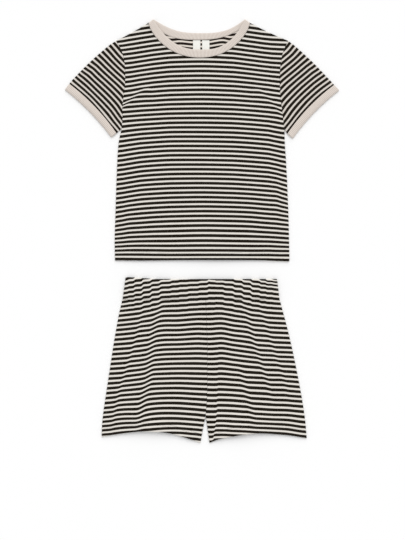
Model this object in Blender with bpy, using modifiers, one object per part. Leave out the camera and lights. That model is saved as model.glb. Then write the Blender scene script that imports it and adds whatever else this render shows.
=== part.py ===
"""A child's pyjama set laid flat: a short-sleeved ringer T-shirt above a pair of gathered shorts.

The set lies on the plane z = 0. +X points to the right and +Y from the hems to the neck, as seen from
above, and left and right are as seen from above too. The origin is under the middle of the whole set.
Lengths are in metres. The tables are in millimetres, and MM turns them into metres.
"""

import math
from collections import namedtuple

import bmesh
import bpy
from mathutils import Vector

MM = 0.001

# Cloth
JERSEY = 1.2 * MM  # wall of the striped jersey, with its hems and seam allowances averaged in
RIB = 2.2 * MM  # neckband and cuffs, rib folded double
CASING = 3.0 * MM  # waist casing: two layers of jersey with the elastic between them
LABEL = 0.6 * MM
SEAM_GAP = 0.3 * MM
UNDERARM_EASE = 0.6 * MM  # further room between sleeve and panel at the armpit's corner
ARMPIT_SHARE = 0.1  # share of the armhole over which that room closes

# Where the two garments lie
TEE_HEM_Y = -55.0 * MM
WAIST_Y = -85.5 * MM  # top of the waist casing
FRONT_SEAM_X = 6.0 * MM  # centre front seam of the shorts
CROTCH_DEPTH = 249.5 * MM  # from the top of the casing to the crotch
CASING_DEPTH = 37.0 * MM
CORNER_LIFT = 3.4 * MM  # by which the casing's left corner lies further up than the rest of its top
CORNER_REACH = 62 * MM

# Heights by which the upper layer stands clear of the lower one, over the seam gap
TEE_LOFT = 1.2 * MM
TEE_HEM_DROP = 0.7 * MM
SLEEVE_LOFT = 1.3 * MM
SHORTS_LOFT = 0.8 * MM
UNDER_CASING_LOFT = 1.6 * MM
NECK_LOFT = 0.9 * MM
CUFF_LOFT = 0.8 * MM
CASING_LOFT = 0.5 * MM
# Shares of a panel's width or height over which the upper layer falls to a seam
SIDE_FALL = 0.13
SHOULDER_FALL = 0.12
HEM_FALL = 0.10
RING_FALL = 0.25

# How finely the pieces are divided
NECK_COLUMNS = 20
SHOULDER_COLUMNS = 5
TEE_COLUMNS = NECK_COLUMNS + 2 * SHOULDER_COLUMNS
HEM_COLUMNS = 16
SIDE_ROWS = 9
ARMHOLE_ROWS = 12
TEE_ROWS = SIDE_ROWS + ARMHOLE_ROWS
LEG_COLUMNS = 28
INSEAM_ROWS = 3
LEG_ROWS = 13
CASING_COLUMNS = 56

# T-shirt outline, from the hem to the shoulder tips: distances of its edges from the middle
EdgeRow = namedtuple("EdgeRow", "height left right")
TEE_EDGES = (
    EdgeRow(0, 157.5, 156.4),
    EdgeRow(38, 157.6, 156.0),
    EdgeRow(90, 155.9, 154.9),
    EdgeRow(145, 154.2, 152.7),
    EdgeRow(190, 152.3, 150.3),
    EdgeRow(217, 150.0, 148.4),
    EdgeRow(240, 145.2, 147.8),
    EdgeRow(258, 143.4, 145.4),
    EdgeRow(276, 143.6, 143.4),
    EdgeRow(294, 142.0, 141.2),
    EdgeRow(312, 139.5, 140.0),
    EdgeRow(331, 138.6, 139.7),
    EdgeRow(352, 139.1, 140.7),
    EdgeRow(372, 142.3, 143.9),
    EdgeRow(386, 148.0, 148.9),
    EdgeRow(398, 154.6, 154.4),
)
# How far the hem's edge lies above its lowest line, by the place across
HemHeight = namedtuple("HemHeight", "x height")
TEE_HEM = (
    HemHeight(-157.5, 2.8), HemHeight(-110, 2.7), HemHeight(-40, 3.5), HemHeight(70, 3.5),
    HemHeight(105, 3.2), HemHeight(132, 2.0), HemHeight(156.4, 1.3),
)
ARMPIT_HEIGHT = 239.5
SHOULDER_HEIGHT = 398

# Edges of the neckband: half width between the folds, height of the folds above the hem, and the dip
# between them, whose curve is dip * (1 - x ** bend) ** fullness
NeckEdge = namedtuple("NeckEdge", "half_width height dip bend fullness")
FRONT_NECK_SEAM = NeckEdge(90.1, 427.2, 59.8, 2.15, 0.72)
FRONT_NECK_RIM = NeckEdge(80.6, 435.1, 53.3, 2.8, 0.9)
BACK_NECK_SEAM = NeckEdge(90.1, 427.2, 27.4, 2.85, 1.28)
BACK_NECK_RIM = NeckEdge(80.6, 435.1, 23.2, 2.9, 1.18)
NECK_X = -5.3 * MM
# How far each shoulder seam bows up between the neckband and the shoulder tip
SHOULDER_BOWS = {"left": 1.3 * MM, "right": 0.5 * MM}

# Sleeves: points on the folded top edge between the shoulder tip and the cuff seam, as distance from
# the middle of the T-shirt and height above its hem
EdgePoint = namedtuple("EdgePoint", "out height")
SLEEVE_FOLD = {
    "left": (
        EdgePoint(171.0, 387), EdgePoint(203.4, 358.5), EdgePoint(231.6, 329.6), EdgePoint(238.3, 321.2),
    ),
    "right": (
        EdgePoint(170.0, 386), EdgePoint(199.8, 358.5), EdgePoint(227.0, 330.0), EdgePoint(236.5, 319.6),
    ),
}
# Lower corner of the cuff seam, both corners of the cuff's free rim, and how far seam and rim bow inwards
CuffRow = namedtuple("CuffRow", "seam_end rim_start rim_end seam_bow rim_bow")
CUFFS = {
    "left": CuffRow(EdgePoint(153.8, 233.6), EdgePoint(245.9, 310.9), EdgePoint(163.8, 224.0), 4.0, 5.9),
    "right": CuffRow(EdgePoint(151.9, 234.6), EdgePoint(245.4, 308.9), EdgePoint(161.6, 221.0), 3.6, 5.9),
}

# Shorts outline below the top of the casing: distances of the side seams from the centre front seam
SideRow = namedtuple("SideRow", "depth left right")
SHORTS_EDGES = (
    SideRow(0, 144.0, 129.0),
    SideRow(34, 148.7, 132.6),
    SideRow(45, 151.4, 135.6),
    SideRow(60, 155.1, 139.6),
    SideRow(80, 159.0, 145.2),
    SideRow(110, 164.2, 152.4),
    SideRow(145, 169.6, 160.1),
    SideRow(180, 174.9, 167.0),
    SideRow(215, 180.2, 173.5),
    SideRow(250, 185.0, 178.7),
    SideRow(285, 187.4, 182.0),
)
# Leg hems: distance from the centre front seam and depth below the top of the casing
HemPoint = namedtuple("HemPoint", "out depth")
LEG_HEMS = {
    "left": (
        HemPoint(187.0, 284.0), HemPoint(154, 278.3), HemPoint(121, 274.3), HemPoint(104, 273.8),
        HemPoint(78, 275.4), HemPoint(57, 279.0), HemPoint(35, 285.7), HemPoint(9.3, 294.4),
    ),
    "right": (
        HemPoint(7.2, 294.8), HemPoint(26, 287.5), HemPoint(48, 283.1), HemPoint(78, 278.4),
        HemPoint(102, 277.4), HemPoint(134, 279.7), HemPoint(156, 281.8), HemPoint(182.0, 286.5),
    ),
}
# Each leg's front hem stands up off the back, highest this far from the centre front seam
HEM_BELLS = {"left": 97, "right": 72}
BELL_HEIGHT = 3.0 * MM
BELL_HALF_WIDTH = 45 * MM
BELL_UP = 0.24  # share of the leg's length over which it dies out

# Soft folds of the upper layer: points of the line as (y, x) from its upper end, height and half width
Fold = namedtuple("Fold", "line height width")
TEE_FOLDS = (
    Fold(((262, -99), (244, -120), (226, -142), (215, -155)), 0.8, 12),
    Fold(((242, 116), (227, 130), (213, 142), (202, 152)), 0.7, 11),
    Fold(((120, 134), (70, 137), (20, 139)), 0.9, 12),
    Fold(((60, -134), (26, -139), (-8, -142)), 0.7, 12),
)
SHORTS_FOLDS = (
    Fold(((-123, -74), (-168, -86), (-222, -93), (-267, -98), (-300, -108), (-350, -118)), 1.2, 10),
    Fold(((-134, -108), (-192, -121), (-246, -137), (-289, -152), (-346, -165)), 0.9, 9),
    Fold(((-135, -56), (-180, -60), (-230, -66)), 0.6, 9),
    Fold(((-118, 74), (-140, 80), (-180, 88), (-222, 101), (-290, 121)), 1.1, 9),
    Fold(((-240, 69), (-287, 79), (-340, 91)), 1.0, 10),
    Fold(((-125, 102), (-163, 114), (-206, 127), (-267, 147), (-290, 153)), 0.9, 9),
    Fold(((-135, 42), (-180, 46), (-235, 50)), 0.6, 9),
)

# Gathers under the casing: distance from the centre front seam (left is negative), height and reach
Gather = namedtuple("Gather", "across height reach")
GATHERS = (
    Gather(-138, 0.5, 24), Gather(-125, 0.7, 30), Gather(-111, 0.6, 38), Gather(-98, 0.7, 26),
    Gather(-82, 0.8, 46), Gather(-64, 0.6, 30), Gather(-50, 0.7, 34), Gather(-33, 0.5, 24),
    Gather(-12, 0.6, 36), Gather(7, 0.6, 28), Gather(22, 0.5, 40), Gather(36, 0.7, 26),
    Gather(53, 0.6, 34), Gather(68, 0.8, 44), Gather(82, 0.7, 28), Gather(96, 0.8, 40),
    Gather(109, 0.6, 26), Gather(122, 0.5, 22),
)
GATHER_HALF_WIDTH = 4.4 * MM
GATHER_END = 0.05  # share of a panel's width over which the gathers die out at the side seam

# Neck labels: distance from the middle of the T-shirt, width and length
LabelRow = namedtuple("LabelRow", "name middle width length")
NECK_LABELS = (
    LabelRow("neck_label_left", -9.9, 13.2, 22.0),
    LabelRow("neck_label_right", 6.4, 13.2, 22.0),
)

# Colours as linear RGB
STRIPED_JERSEY = (0.225, 0.207, 0.183)
STONE_RIB = (0.66, 0.59, 0.53)
WHITE_TAPE = (0.83, 0.82, 0.77)


# ---- curves in plan -------------------------------------------------------------------------------


def hermite(before, start, end, after, share):
    """Catmull-Rom value between start and end."""
    a = 2 * start
    b = end - before
    c = 2 * before - 5 * start + 4 * end - after
    d = 3 * start - before - 3 * end + after
    return (a + b * share + c * share**2 + d * share**3) * 0.5


def smooth_value(places, values, at):
    """The smooth value at a place among rising places, straight beyond their ends."""
    last = len(places) - 1
    lower = next((i for i in range(last) if places[i + 1] >= at), last - 1)
    share = (at - places[lower]) / (places[lower + 1] - places[lower])
    if not 0 <= share <= 1:
        return values[lower] + (values[lower + 1] - values[lower]) * share
    near = [values[min(max(i, 0), last)] for i in range(lower - 1, lower + 3)]
    return hermite(*near, share)


def read_table(rows, column, at):
    """Smooth value of a table's column where its first column has this value."""
    return smooth_value([row[0] for row in rows], [getattr(row, column) for row in rows], at)


def smooth_path(points, steps=6):
    """The smooth curve through the points, as a function of the share of its length."""
    ends = [points[0] * 2 - points[1], *points, points[-1] * 2 - points[-2]]
    dense = [points[0]]
    for row in range(1, len(ends) - 2):
        for step in range(1, steps + 1):
            dense.append(hermite(*ends[row - 1 : row + 3], step / steps))
    lengths = [0.0]
    for start, end in zip(dense, dense[1:]):
        lengths.append(lengths[-1] + (end - start).length)

    def at(share):
        wanted = min(max(share, 0.0), 1.0) * lengths[-1]
        row = next((i for i in range(1, len(lengths)) if lengths[i] >= wanted), len(lengths) - 1)
        part = (wanted - lengths[row - 1]) / (lengths[row] - lengths[row - 1])
        return dense[row - 1].lerp(dense[row], part)

    return at


def bowed_path(start, end, bow):
    """An arc-like line from start to end that bows by this much to the left of its direction."""
    along = end - start
    side = Vector((-along.y, along.x)).normalized()
    return lambda share: start + along * share + side * (4 * bow * share * (1 - share))


def joined(*pieces):
    """Paths run one after the other: each piece is (path, share of the whole at which it ends)."""

    def at(share):
        start = 0.0
        for path, end in pieces[:-1]:
            if share <= end:
                return path((share - start) / (end - start))
            start = end
        return pieces[-1][0]((share - start) / (1.0 - start))

    return at


def patch(left, right, bottom, top, hold=1):
    """The plan of a panel: a surface stretched between four edges, each a path. A higher hold keeps the
    bends of the left and right edges closer to those edges."""

    def bend(edge, up):
        return edge(up) - edge(0).lerp(edge(1), up)

    def at(across, up):
        column = bottom(across).lerp(top(across), up)
        return column + bend(left, up) * (1 - across) ** hold + bend(right, up) * across**hold

    return at


def rise(share):
    """0 at and below 0, 1 at and above 1, smooth between."""
    share = min(max(share, 0.0), 1.0)
    return share * share * (3 - 2 * share)


def ridges(folds, point):
    """Height that the folds add at this point of the plan."""
    total = 0.0
    for fold in folds:
        depths = [-spot[0] for spot in fold.line]
        depth = -point.y / MM
        line_x = smooth_value(depths, [spot[1] for spot in fold.line], depth)
        share = (depth - depths[0]) / (depths[-1] - depths[0])
        beside = (point.x / MM - line_x) / fold.width
        ends = rise(share / 0.3) * rise((1 - share) / 0.3)
        total += fold.height * MM * ends * math.exp(-(beside**2))
    return total


# ---- T-shirt plan ---------------------------------------------------------------------------------


def mirrored(side):
    return -1 if side == "left" else 1


def tee_edge(side, height):
    """Point of the T-shirt's side seam or armhole seam, this many millimetres above the hem."""
    out = read_table(TEE_EDGES, side, height) * MM
    return Vector((mirrored(side) * out, TEE_HEM_Y + height * MM))


def armhole(side, out=0.0, ease=0.0):
    """The armhole seam from the armpit to the shoulder tip, moved out by this much, and by the ease too
    at the armpit."""
    span = SHOULDER_HEIGHT - ARMPIT_HEIGHT

    def at(share):
        shift = mirrored(side) * (out + ease * (1 - rise(share / ARMPIT_SHARE)))
        return tee_edge(side, ARMPIT_HEIGHT + span * share) + Vector((shift, 0))

    return at


def tee_point(side, point):
    """A point given as distance from the middle and height above the hem."""
    return Vector((mirrored(side) * point.out * MM, TEE_HEM_Y + point.height * MM))


def neck_path(edge, out=0.0):
    """An edge of the neckband from the left fold to the right one, moved out by this much."""

    def at(share):
        across = 0.6 * math.sin((share - 0.5) * math.pi) + 0.4 * (2 * share - 1)
        dip = edge.dip * (1 - abs(across) ** edge.bend) ** edge.fullness * MM
        height = edge.height * MM - dip - out
        return Vector((NECK_X + (edge.half_width * MM + out) * across, TEE_HEM_Y + height))

    return at


def tee_side(side):
    """The side seam and the armhole seam, from the hem to the shoulder tip."""

    start = TEE_HEM[0 if side == "left" else -1].height

    def side_seam(share):
        return tee_edge(side, start + (ARMPIT_HEIGHT - start) * share)

    return joined((side_seam, SIDE_ROWS / TEE_ROWS), (armhole(side), 1))


def tee_hem(across):
    """Point of the T-shirt's hem, from the left side seam to the right one."""
    x = tee_side("left")(0).lerp(tee_side("right")(0), across).x
    return Vector((x, TEE_HEM_Y + read_table(TEE_HEM, "height", x / MM) * MM))


def tee_top(neck_seam):
    """The upper edge of a T-shirt panel: left shoulder, neckline, right shoulder."""
    neckline = neck_path(neck_seam, 1.5 * SEAM_GAP)
    left = bowed_path(tee_edge("left", SHOULDER_HEIGHT), neckline(0), SHOULDER_BOWS["left"])
    right = bowed_path(neckline(1), tee_edge("right", SHOULDER_HEIGHT), SHOULDER_BOWS["right"])
    shoulder_share = SHOULDER_COLUMNS / TEE_COLUMNS
    return joined((left, shoulder_share), (neckline, 1 - shoulder_share), (right, 1))


def sleeve_plan(side):
    """The plan of a folded sleeve, across from the top fold to the underarm and up from cuff to armhole."""
    seam = armhole(side, 1.5 * SEAM_GAP, UNDERARM_EASE)
    corner = tee_point(side, CUFFS[side].seam_end)
    fold = smooth_path([tee_point(side, p) for p in reversed(SLEEVE_FOLD[side])] + [seam(1)])
    underarm = smooth_path([corner, seam(0)])
    bow = -mirrored(side) * CUFFS[side].seam_bow * MM
    cuff_seam = bowed_path(fold(0), corner, bow)
    return patch(fold, underarm, cuff_seam, lambda share: seam(1 - share))


def cuff_plan(side):
    """The plan of a flattened cuff, across from the top fold to the underarm and up from rim to seam."""
    row = CUFFS[side]
    inwards = -mirrored(side) * MM
    rim = bowed_path(tee_point(side, row.rim_start), tee_point(side, row.rim_end), inwards * row.rim_bow)
    fold_corner = tee_point(side, SLEEVE_FOLD[side][-1])
    seam = bowed_path(fold_corner, tee_point(side, row.seam_end), inwards * row.seam_bow)
    top_share = 1 - 2 * SEAM_GAP / (seam(0.5) - rim(0.5)).length

    def at(across, up):
        return rim(across).lerp(seam(across), up * top_share)

    return at


# ---- shorts plan ----------------------------------------------------------------------------------


def shorts_point(side, out, depth):
    """A point this far out from the centre front seam and below the top of the casing."""
    return Vector((FRONT_SEAM_X + mirrored(side) * out, WAIST_Y - depth))


def shorts_edge(side, depth):
    """Point of the shorts' side seam this far below the top of the casing."""
    return shorts_point(side, read_table(SHORTS_EDGES, side, depth / MM) * MM, depth)


def hem_path(side):
    """A leg's hem, from left to right."""
    return smooth_path([shorts_point(side, row.out * MM, row.depth * MM) for row in LEG_HEMS[side]])


def leg_plan(side):
    """The plan of one leg panel below the casing, up from the hem."""
    hem = hem_path(side)
    hem_corners = (hem(0), hem(1)) if side == "left" else (hem(1), hem(0))
    seam_out = 0.7 * SEAM_GAP
    top_depth = CASING_DEPTH + 2 * SEAM_GAP
    hem_depth = SHORTS_EDGES[-1].depth * MM
    side_depths = [hem_depth + (top_depth - hem_depth) * i / 10 for i in range(1, 11)]
    outer = smooth_path([hem_corners[0]] + [shorts_edge(side, depth) for depth in side_depths])
    crotch = shorts_point(side, seam_out, CROTCH_DEPTH)
    inseam = smooth_path([hem_corners[1], crotch])
    rise_seam = smooth_path([crotch, shorts_point(side, seam_out, top_depth)])
    inner = joined((inseam, INSEAM_ROWS / LEG_ROWS), (rise_seam, 1))
    left, right = (outer, inner) if side == "left" else (inner, outer)
    return patch(left, right, hem, smooth_path([left(1), right(1)]))


def casing_plan(across, up):
    """The plan of the waist casing, across from left to right and up to its top fold."""
    depth = CASING_DEPTH * (1 - up)
    left = shorts_edge("left", depth)
    point = left.lerp(shorts_edge("right", depth), across)
    point.y += CORNER_LIFT * up * (1 - rise((point.x - left.x) / CORNER_REACH))
    return point


def gathered(point):
    """Height that the gathers add at this point of the shorts, fading out below the casing."""
    below = WAIST_Y - CASING_DEPTH - point.y
    total = 0.0
    for gather in GATHERS:
        beside = (point.x - FRONT_SEAM_X - gather.across * MM) / GATHER_HALF_WIDTH
        fade = rise(1 - below / (gather.reach * MM))
        total += gather.height * MM * fade * math.exp(-(beside**2))
    return total


# ---- solids ---------------------------------------------------------------------------------------


def clear_scene():
    for old in list(bpy.data.objects):
        bpy.data.objects.remove(old)


def make_collection(name):
    made = bpy.data.collections.new(name)
    bpy.context.scene.collection.children.link(made)
    return made


def make_material(name, colour, roughness):
    material = bpy.data.materials.new(name)
    material.use_nodes = True
    shader = material.node_tree.nodes["Principled BSDF"]
    shader.inputs["Base Color"].default_value = (*colour, 1)
    shader.inputs["Roughness"].default_value = roughness
    shader.inputs["Metallic"].default_value = 0.0
    return material


def add_piece(data, name, colour, roughness=0.9):
    piece = bpy.data.objects.new(name, data)
    PYJAMA_SET.objects.link(piece)
    data.materials.append(make_material(name + "_cloth", colour, roughness))
    return piece


def thicken(piece, thickness, offset):
    wall = piece.modifiers.new("wall", "SOLIDIFY")
    wall.thickness = thickness
    wall.offset = offset
    wall.use_even_offset = True


def bent_grid(columns, rows, place):
    """A grid of cells whose corners are placed by place(column, row), facing up where it lies flat."""
    made = bmesh.new()
    bmesh.ops.create_grid(made, x_segments=columns, y_segments=rows, size=0.5)
    for corner in made.verts:
        column = round((corner.co.x + 0.5) * columns)
        row = round((corner.co.y + 0.5) * rows)
        corner.co = place(column, row)
    return made


def finish_mesh(made, name, colour):
    data = bpy.data.meshes.new(name)
    made.to_mesh(data)
    made.free()
    data.shade_smooth()
    data.set_sharp_from_angle(angle=math.radians(50))
    return add_piece(data, name, colour)


def upper_panel(name, plan, lift, columns, rows, colour):
    """A panel of the upper layer: its underside stands lift(across, up, point) above the lower panel."""

    def place(column, row):
        across = column / columns
        up = row / rows
        point = plan(across, up)
        return Vector((*point, JERSEY + SEAM_GAP + lift(across, up, point)))

    piece = finish_mesh(bent_grid(columns, rows, place), name, colour)
    thicken(piece, JERSEY, 1.0)
    return piece


def flat_panel(name, outline, bottom, thickness, colour):
    """A level panel of the given outline."""
    data = bpy.data.curves.new(name, "CURVE")
    data.dimensions = "2D"
    data.fill_mode = "BOTH"
    data.extrude = thickness / 2
    edge = data.splines.new("POLY")
    edge.points.add(len(outline) - 1)
    for corner, point in zip(edge.points, outline):
        corner.co = (*point, 0, 1)
    edge.use_cyclic_u = True
    piece = add_piece(data, name, colour)
    piece.location.z = bottom + thickness / 2
    return piece


def ring_stations(upper_count, lower_count, turn_count):
    """(across, roll) round a flattened ring: over the upper layer from across 0 to 1, round the fold,
    back along the lower layer and round the other fold. Roll is 0 where the cloth faces up."""
    upper = [(i / upper_count, 0.0) for i in range(upper_count + 1)]
    far_turn = [(1.0, math.pi * i / turn_count) for i in range(1, turn_count)]
    lower = [(1 - i / lower_count, math.pi) for i in range(lower_count + 1)]
    near_turn = [(0.0, math.pi * (1 + i / turn_count)) for i in range(1, turn_count)]
    return upper + far_turn + lower + near_turn


def flattened_ring(name, upper_plan, lower_plan, thickness, lift, stations, rows, colour, on_fold=False):
    """A ring of cloth pressed flat. Both plans give points by (across, up) and share their folds. They
    end at the outline, or, with on_fold, at the lines about which the ring turns."""
    radius = (thickness + SEAM_GAP) / 2
    inset = 0.0 if on_fold else radius + thickness / 2
    count = len(stations)

    def place(column, row):
        across, roll = stations[column % count]
        up = row / rows
        plan = upper_plan if math.cos(roll) > 0 else lower_plan
        whole = plan(0, up), plan(1, up)
        width = (whole[1] - whole[0]).length
        share = (inset + across * (width - 2 * inset)) / width
        point = plan(share, up)
        if on_fold:
            section = plan(share, 1) - plan(share, 0)
            out = Vector((section.y, -section.x)).normalized()
        else:
            out = (whole[1] - point if across > 0.5 else point - whole[0]).normalized()
        point = point + out * radius * math.sin(roll)
        above = (1 + math.cos(roll)) / 2
        height = thickness + SEAM_GAP / 2 + radius * math.cos(roll) + above * lift(across, up, point)
        return Vector((*point, height))

    made = bent_grid(count, rows, place)
    bmesh.ops.remove_doubles(made, verts=made.verts, dist=1e-6)
    made.normal_update()
    made.faces.ensure_lookup_table()
    highest = max(made.faces, key=lambda face: face.calc_center_median().z)
    if highest.normal.z < 0:
        bmesh.ops.reverse_faces(made, faces=made.faces)
    piece = finish_mesh(made, name, colour)
    thicken(piece, thickness, 0.0)
    return piece


def arch(share, edge):
    """0 at both ends, 1 from this far in."""
    return rise(share / edge) * rise((1 - share) / edge)


# ---- pieces of the T-shirt ------------------------------------------------------------------------


def tee_lift(across, up, point):
    """The front falls to the back at the sides and shoulders, and stands up under the neckband."""
    neck_half = NECK_COLUMNS / TEE_COLUMNS
    on_shoulder = rise((abs(2 * across - 1) - neck_half) / SHOULDER_FALL + 1)
    near_top = 1 - rise((1 - up) / SHOULDER_FALL)
    hem_drop = TEE_HEM_DROP * (1 - rise(up / HEM_FALL))
    loft = (TEE_LOFT - hem_drop) * arch(across, SIDE_FALL) * (1 - on_shoulder * near_top)
    return loft + ridges(TEE_FOLDS, point)


def build_tee_front():
    left = tee_side("left")
    right = tee_side("right")
    top = tee_top(FRONT_NECK_SEAM)

    def hem(share):
        return tee_hem((top(share).x - top(0).x) / (top(1).x - top(0).x))

    plan = patch(left, right, hem, top, hold=6)
    upper_panel("tee_front", plan, tee_lift, TEE_COLUMNS, TEE_ROWS, STRIPED_JERSEY)


def build_tee_back():
    top = tee_top(BACK_NECK_SEAM)
    left = [tee_side("left")(i / TEE_ROWS) for i in range(TEE_ROWS + 1)]
    right = [tee_side("right")(i / TEE_ROWS) for i in range(TEE_ROWS + 1)]
    shoulders_and_neck = [top(i / TEE_COLUMNS) for i in range(1, TEE_COLUMNS)]
    hem = [tee_hem(1 - i / HEM_COLUMNS) for i in range(1, HEM_COLUMNS)]
    flat_panel("tee_back", left + shoulders_and_neck + right[::-1] + hem, 0, JERSEY, STRIPED_JERSEY)


def build_sleeve(side):
    plan = sleeve_plan(side)

    def lift(across, up, point):
        armhole_fall = 0.7 * rise((up - 1 + RING_FALL) / RING_FALL)
        return SLEEVE_LOFT * arch(across, RING_FALL) * (1 - armhole_fall)

    stations = ring_stations(ARMHOLE_ROWS, ARMHOLE_ROWS, 4)
    flattened_ring("tee_sleeve_" + side, plan, plan, JERSEY, lift, stations, 8, STRIPED_JERSEY)


def build_cuff(side):
    plan = cuff_plan(side)

    def lift(across, up, point):
        return CUFF_LOFT * arch(across, RING_FALL)

    stations = ring_stations(12, 10, 4)
    flattened_ring("tee_cuff_" + side, plan, plan, RIB, lift, stations, 1, STONE_RIB)


def build_neckband():
    def between(seam, rim):
        seam_path = neck_path(seam)
        rim_path = neck_path(rim)
        return lambda across, up: seam_path(across).lerp(rim_path(across), up)

    def lift(across, up, point):
        return NECK_LOFT * arch(across, RING_FALL)

    upper = between(FRONT_NECK_SEAM, FRONT_NECK_RIM)
    lower = between(BACK_NECK_SEAM, BACK_NECK_RIM)
    stations = ring_stations(NECK_COLUMNS, NECK_COLUMNS, 5)
    flattened_ring("tee_neckband", upper, lower, RIB, lift, stations, 3, STONE_RIB, on_fold=True)


def build_neck_label(row):
    top = neck_path(BACK_NECK_SEAM)(0.5).y - 4 * SEAM_GAP
    left = (row.middle - row.width / 2) * MM
    right = (row.middle + row.width / 2) * MM
    bottom = top - row.length * MM
    outline = [Vector((left, bottom)), Vector((right, bottom)), Vector((right, top)), Vector((left, top))]
    flat_panel(row.name, outline, JERSEY + SEAM_GAP, LABEL, WHITE_TAPE)


# ---- pieces of the shorts -------------------------------------------------------------------------


def hem_bell(side, across, up, point):
    """Height by which a leg's front stands up at its hem."""
    top_x = FRONT_SEAM_X + mirrored(side) * HEM_BELLS[side] * MM
    beside = (point.x - top_x) / BELL_HALF_WIDTH
    return BELL_HEIGHT * math.exp(-(beside**2)) * rise(1 - up / BELL_UP) * arch(across, SIDE_FALL)


def build_leg_front(side):
    plan = leg_plan(side)
    crotch_up = INSEAM_ROWS / LEG_ROWS

    def lift(across, up, point):
        from_side = across if side == "left" else 1 - across
        above_crotch = rise(up / crotch_up - 0.4)
        off_inseam = rise((1 - from_side) / SIDE_FALL)
        loft = SHORTS_LOFT + UNDER_CASING_LOFT * rise((up - 1 + RING_FALL) / RING_FALL)
        loft *= rise(from_side / SIDE_FALL) * (above_crotch + (1 - above_crotch) * off_inseam)
        loft += hem_bell(side, across, up, point)
        return loft + ridges(SHORTS_FOLDS, point) + gathered(point) * rise(from_side / GATHER_END)

    upper_panel("shorts_front_" + side, plan, lift, LEG_COLUMNS, LEG_ROWS, STRIPED_JERSEY)


def build_leg_back(side):
    plan = leg_plan(side)
    bottom = [plan(i / 16, 0) for i in range(17)]
    right = [plan(1, i / LEG_ROWS) for i in range(1, LEG_ROWS + 1)]
    top = [plan(0, 1)]
    left = [plan(0, 1 - i / LEG_ROWS) for i in range(1, LEG_ROWS)]
    flat_panel("shorts_back_" + side, bottom + right + top + left, 0, JERSEY, STRIPED_JERSEY)


def build_casing():
    def lift(across, up, point):
        return CASING_LOFT * arch(across, SIDE_FALL) + gathered(point) * arch(across, GATHER_END / 2)

    stations = ring_stations(CASING_COLUMNS, 12, 5)
    flattened_ring("shorts_waistband", casing_plan, casing_plan, CASING, lift, stations, 3, STRIPED_JERSEY)


clear_scene()
PYJAMA_SET = make_collection("Pyjama_set")
build_tee_back()
build_tee_front()
build_neckband()
for label_row in NECK_LABELS:
    build_neck_label(label_row)
for half in ("left", "right"):
    build_sleeve(half)
    build_cuff(half)
    build_leg_back(half)
    build_leg_front(half)
build_casing()
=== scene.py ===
"""A child's pyjama set laid flat: the knitted cloth, rib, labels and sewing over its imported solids.

+X points to the right and +Y from the hems to the neck, as seen from above, and left and right are as
seen from above too. The tables are in millimetres, and MM turns them into metres. Every panel of cloth
carries its place in the knit as a UV map: across the wales first, then along them, in metres.
"""

import functools
import math
from collections import namedtuple

import bmesh
import bpy
from mathutils import Matrix, Vector, noise


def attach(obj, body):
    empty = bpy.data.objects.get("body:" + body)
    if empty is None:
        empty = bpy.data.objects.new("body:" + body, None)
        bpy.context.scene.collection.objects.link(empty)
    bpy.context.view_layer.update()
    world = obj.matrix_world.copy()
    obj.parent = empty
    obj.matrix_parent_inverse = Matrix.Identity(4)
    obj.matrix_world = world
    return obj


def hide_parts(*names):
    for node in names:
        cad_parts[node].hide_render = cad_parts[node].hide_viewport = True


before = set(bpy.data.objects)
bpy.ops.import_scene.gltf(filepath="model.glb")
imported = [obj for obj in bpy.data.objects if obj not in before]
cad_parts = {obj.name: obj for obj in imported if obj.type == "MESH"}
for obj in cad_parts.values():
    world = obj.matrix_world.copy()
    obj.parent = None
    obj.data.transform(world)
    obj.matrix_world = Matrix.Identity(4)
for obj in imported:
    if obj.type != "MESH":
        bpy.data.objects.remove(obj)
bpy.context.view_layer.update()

MM = 0.001

# Walls of the cloth. JERSEY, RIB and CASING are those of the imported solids
JERSEY = 1.2 * MM
RIB = 2.2 * MM  # neckband, rib folded double
CUFF_RIB = 1.7 * MM  # the same on the cuffs, pressed flatter than in the solids
CASING = 3.0 * MM  # waist casing with its elastic
LAYER_GAP = 0.3 * MM  # between the lower and the upper layer
SEAM_GAP = 0.1 * MM  # between pieces that are sewn together
CLOTH = 0.8 * MM  # wall of one layer of jersey
TAPE = 0.35 * MM

# Where the two garments lie
TEE_HEM_Y = -55.0 * MM
WAIST_Y = -85.5 * MM
FRONT_SEAM_X = 6.0 * MM
CROTCH_DEPTH = 246.5 * MM
CASING_DEPTH = 37.0 * MM
CORNER_LIFT = 3.4 * MM  # by which the casing's left corner lies further up than the rest of its top
CORNER_REACH = 62 * MM
NECK_X = -5.3 * MM

# Heights by which the upper layer stands clear of the lower one
TEE_LOFT = 1.2 * MM
TEE_HEM_DROP = 0.7 * MM
TEE_BELL = 1.3 * MM  # by which the hem stands up near the middle
TEE_BELL_X = 18 * MM
TEE_BELL_HALF_WIDTH = 70 * MM
TEE_BELL_UP = 0.12  # share of the front's height over which it dies out
UNEVENNESS = 0.3 * MM  # of the cloth between its seams
SLEEVE_LOFT = 1.3 * MM
SHORTS_LOFT = 0.8 * MM
UNDER_CASING_LOFT = 1.6 * MM
NECK_LOFT = 0.9 * MM
FOLD_LOFT = 1.5 * MM  # further height of the neckband's front beside its two folds
CUFF_LOFT = 0.8 * MM
CUFF_DROP = 1.6 * MM  # by which a cuff's upper layer sinks at its thin rim
CASING_LOFT = 0.5 * MM
# Shares of a panel's width or height over which the upper layer falls to a seam
SIDE_FALL = 0.13
SHOULDER_FALL = 0.12
HEM_FALL = 0.10
RING_FALL = 0.25

# Shares of the panels' plans at which their edges turn a corner
SHOULDER_SHARE = 5 / 30
ARMPIT_UP = 9 / 21
CROTCH_UP = 3 / 13

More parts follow.
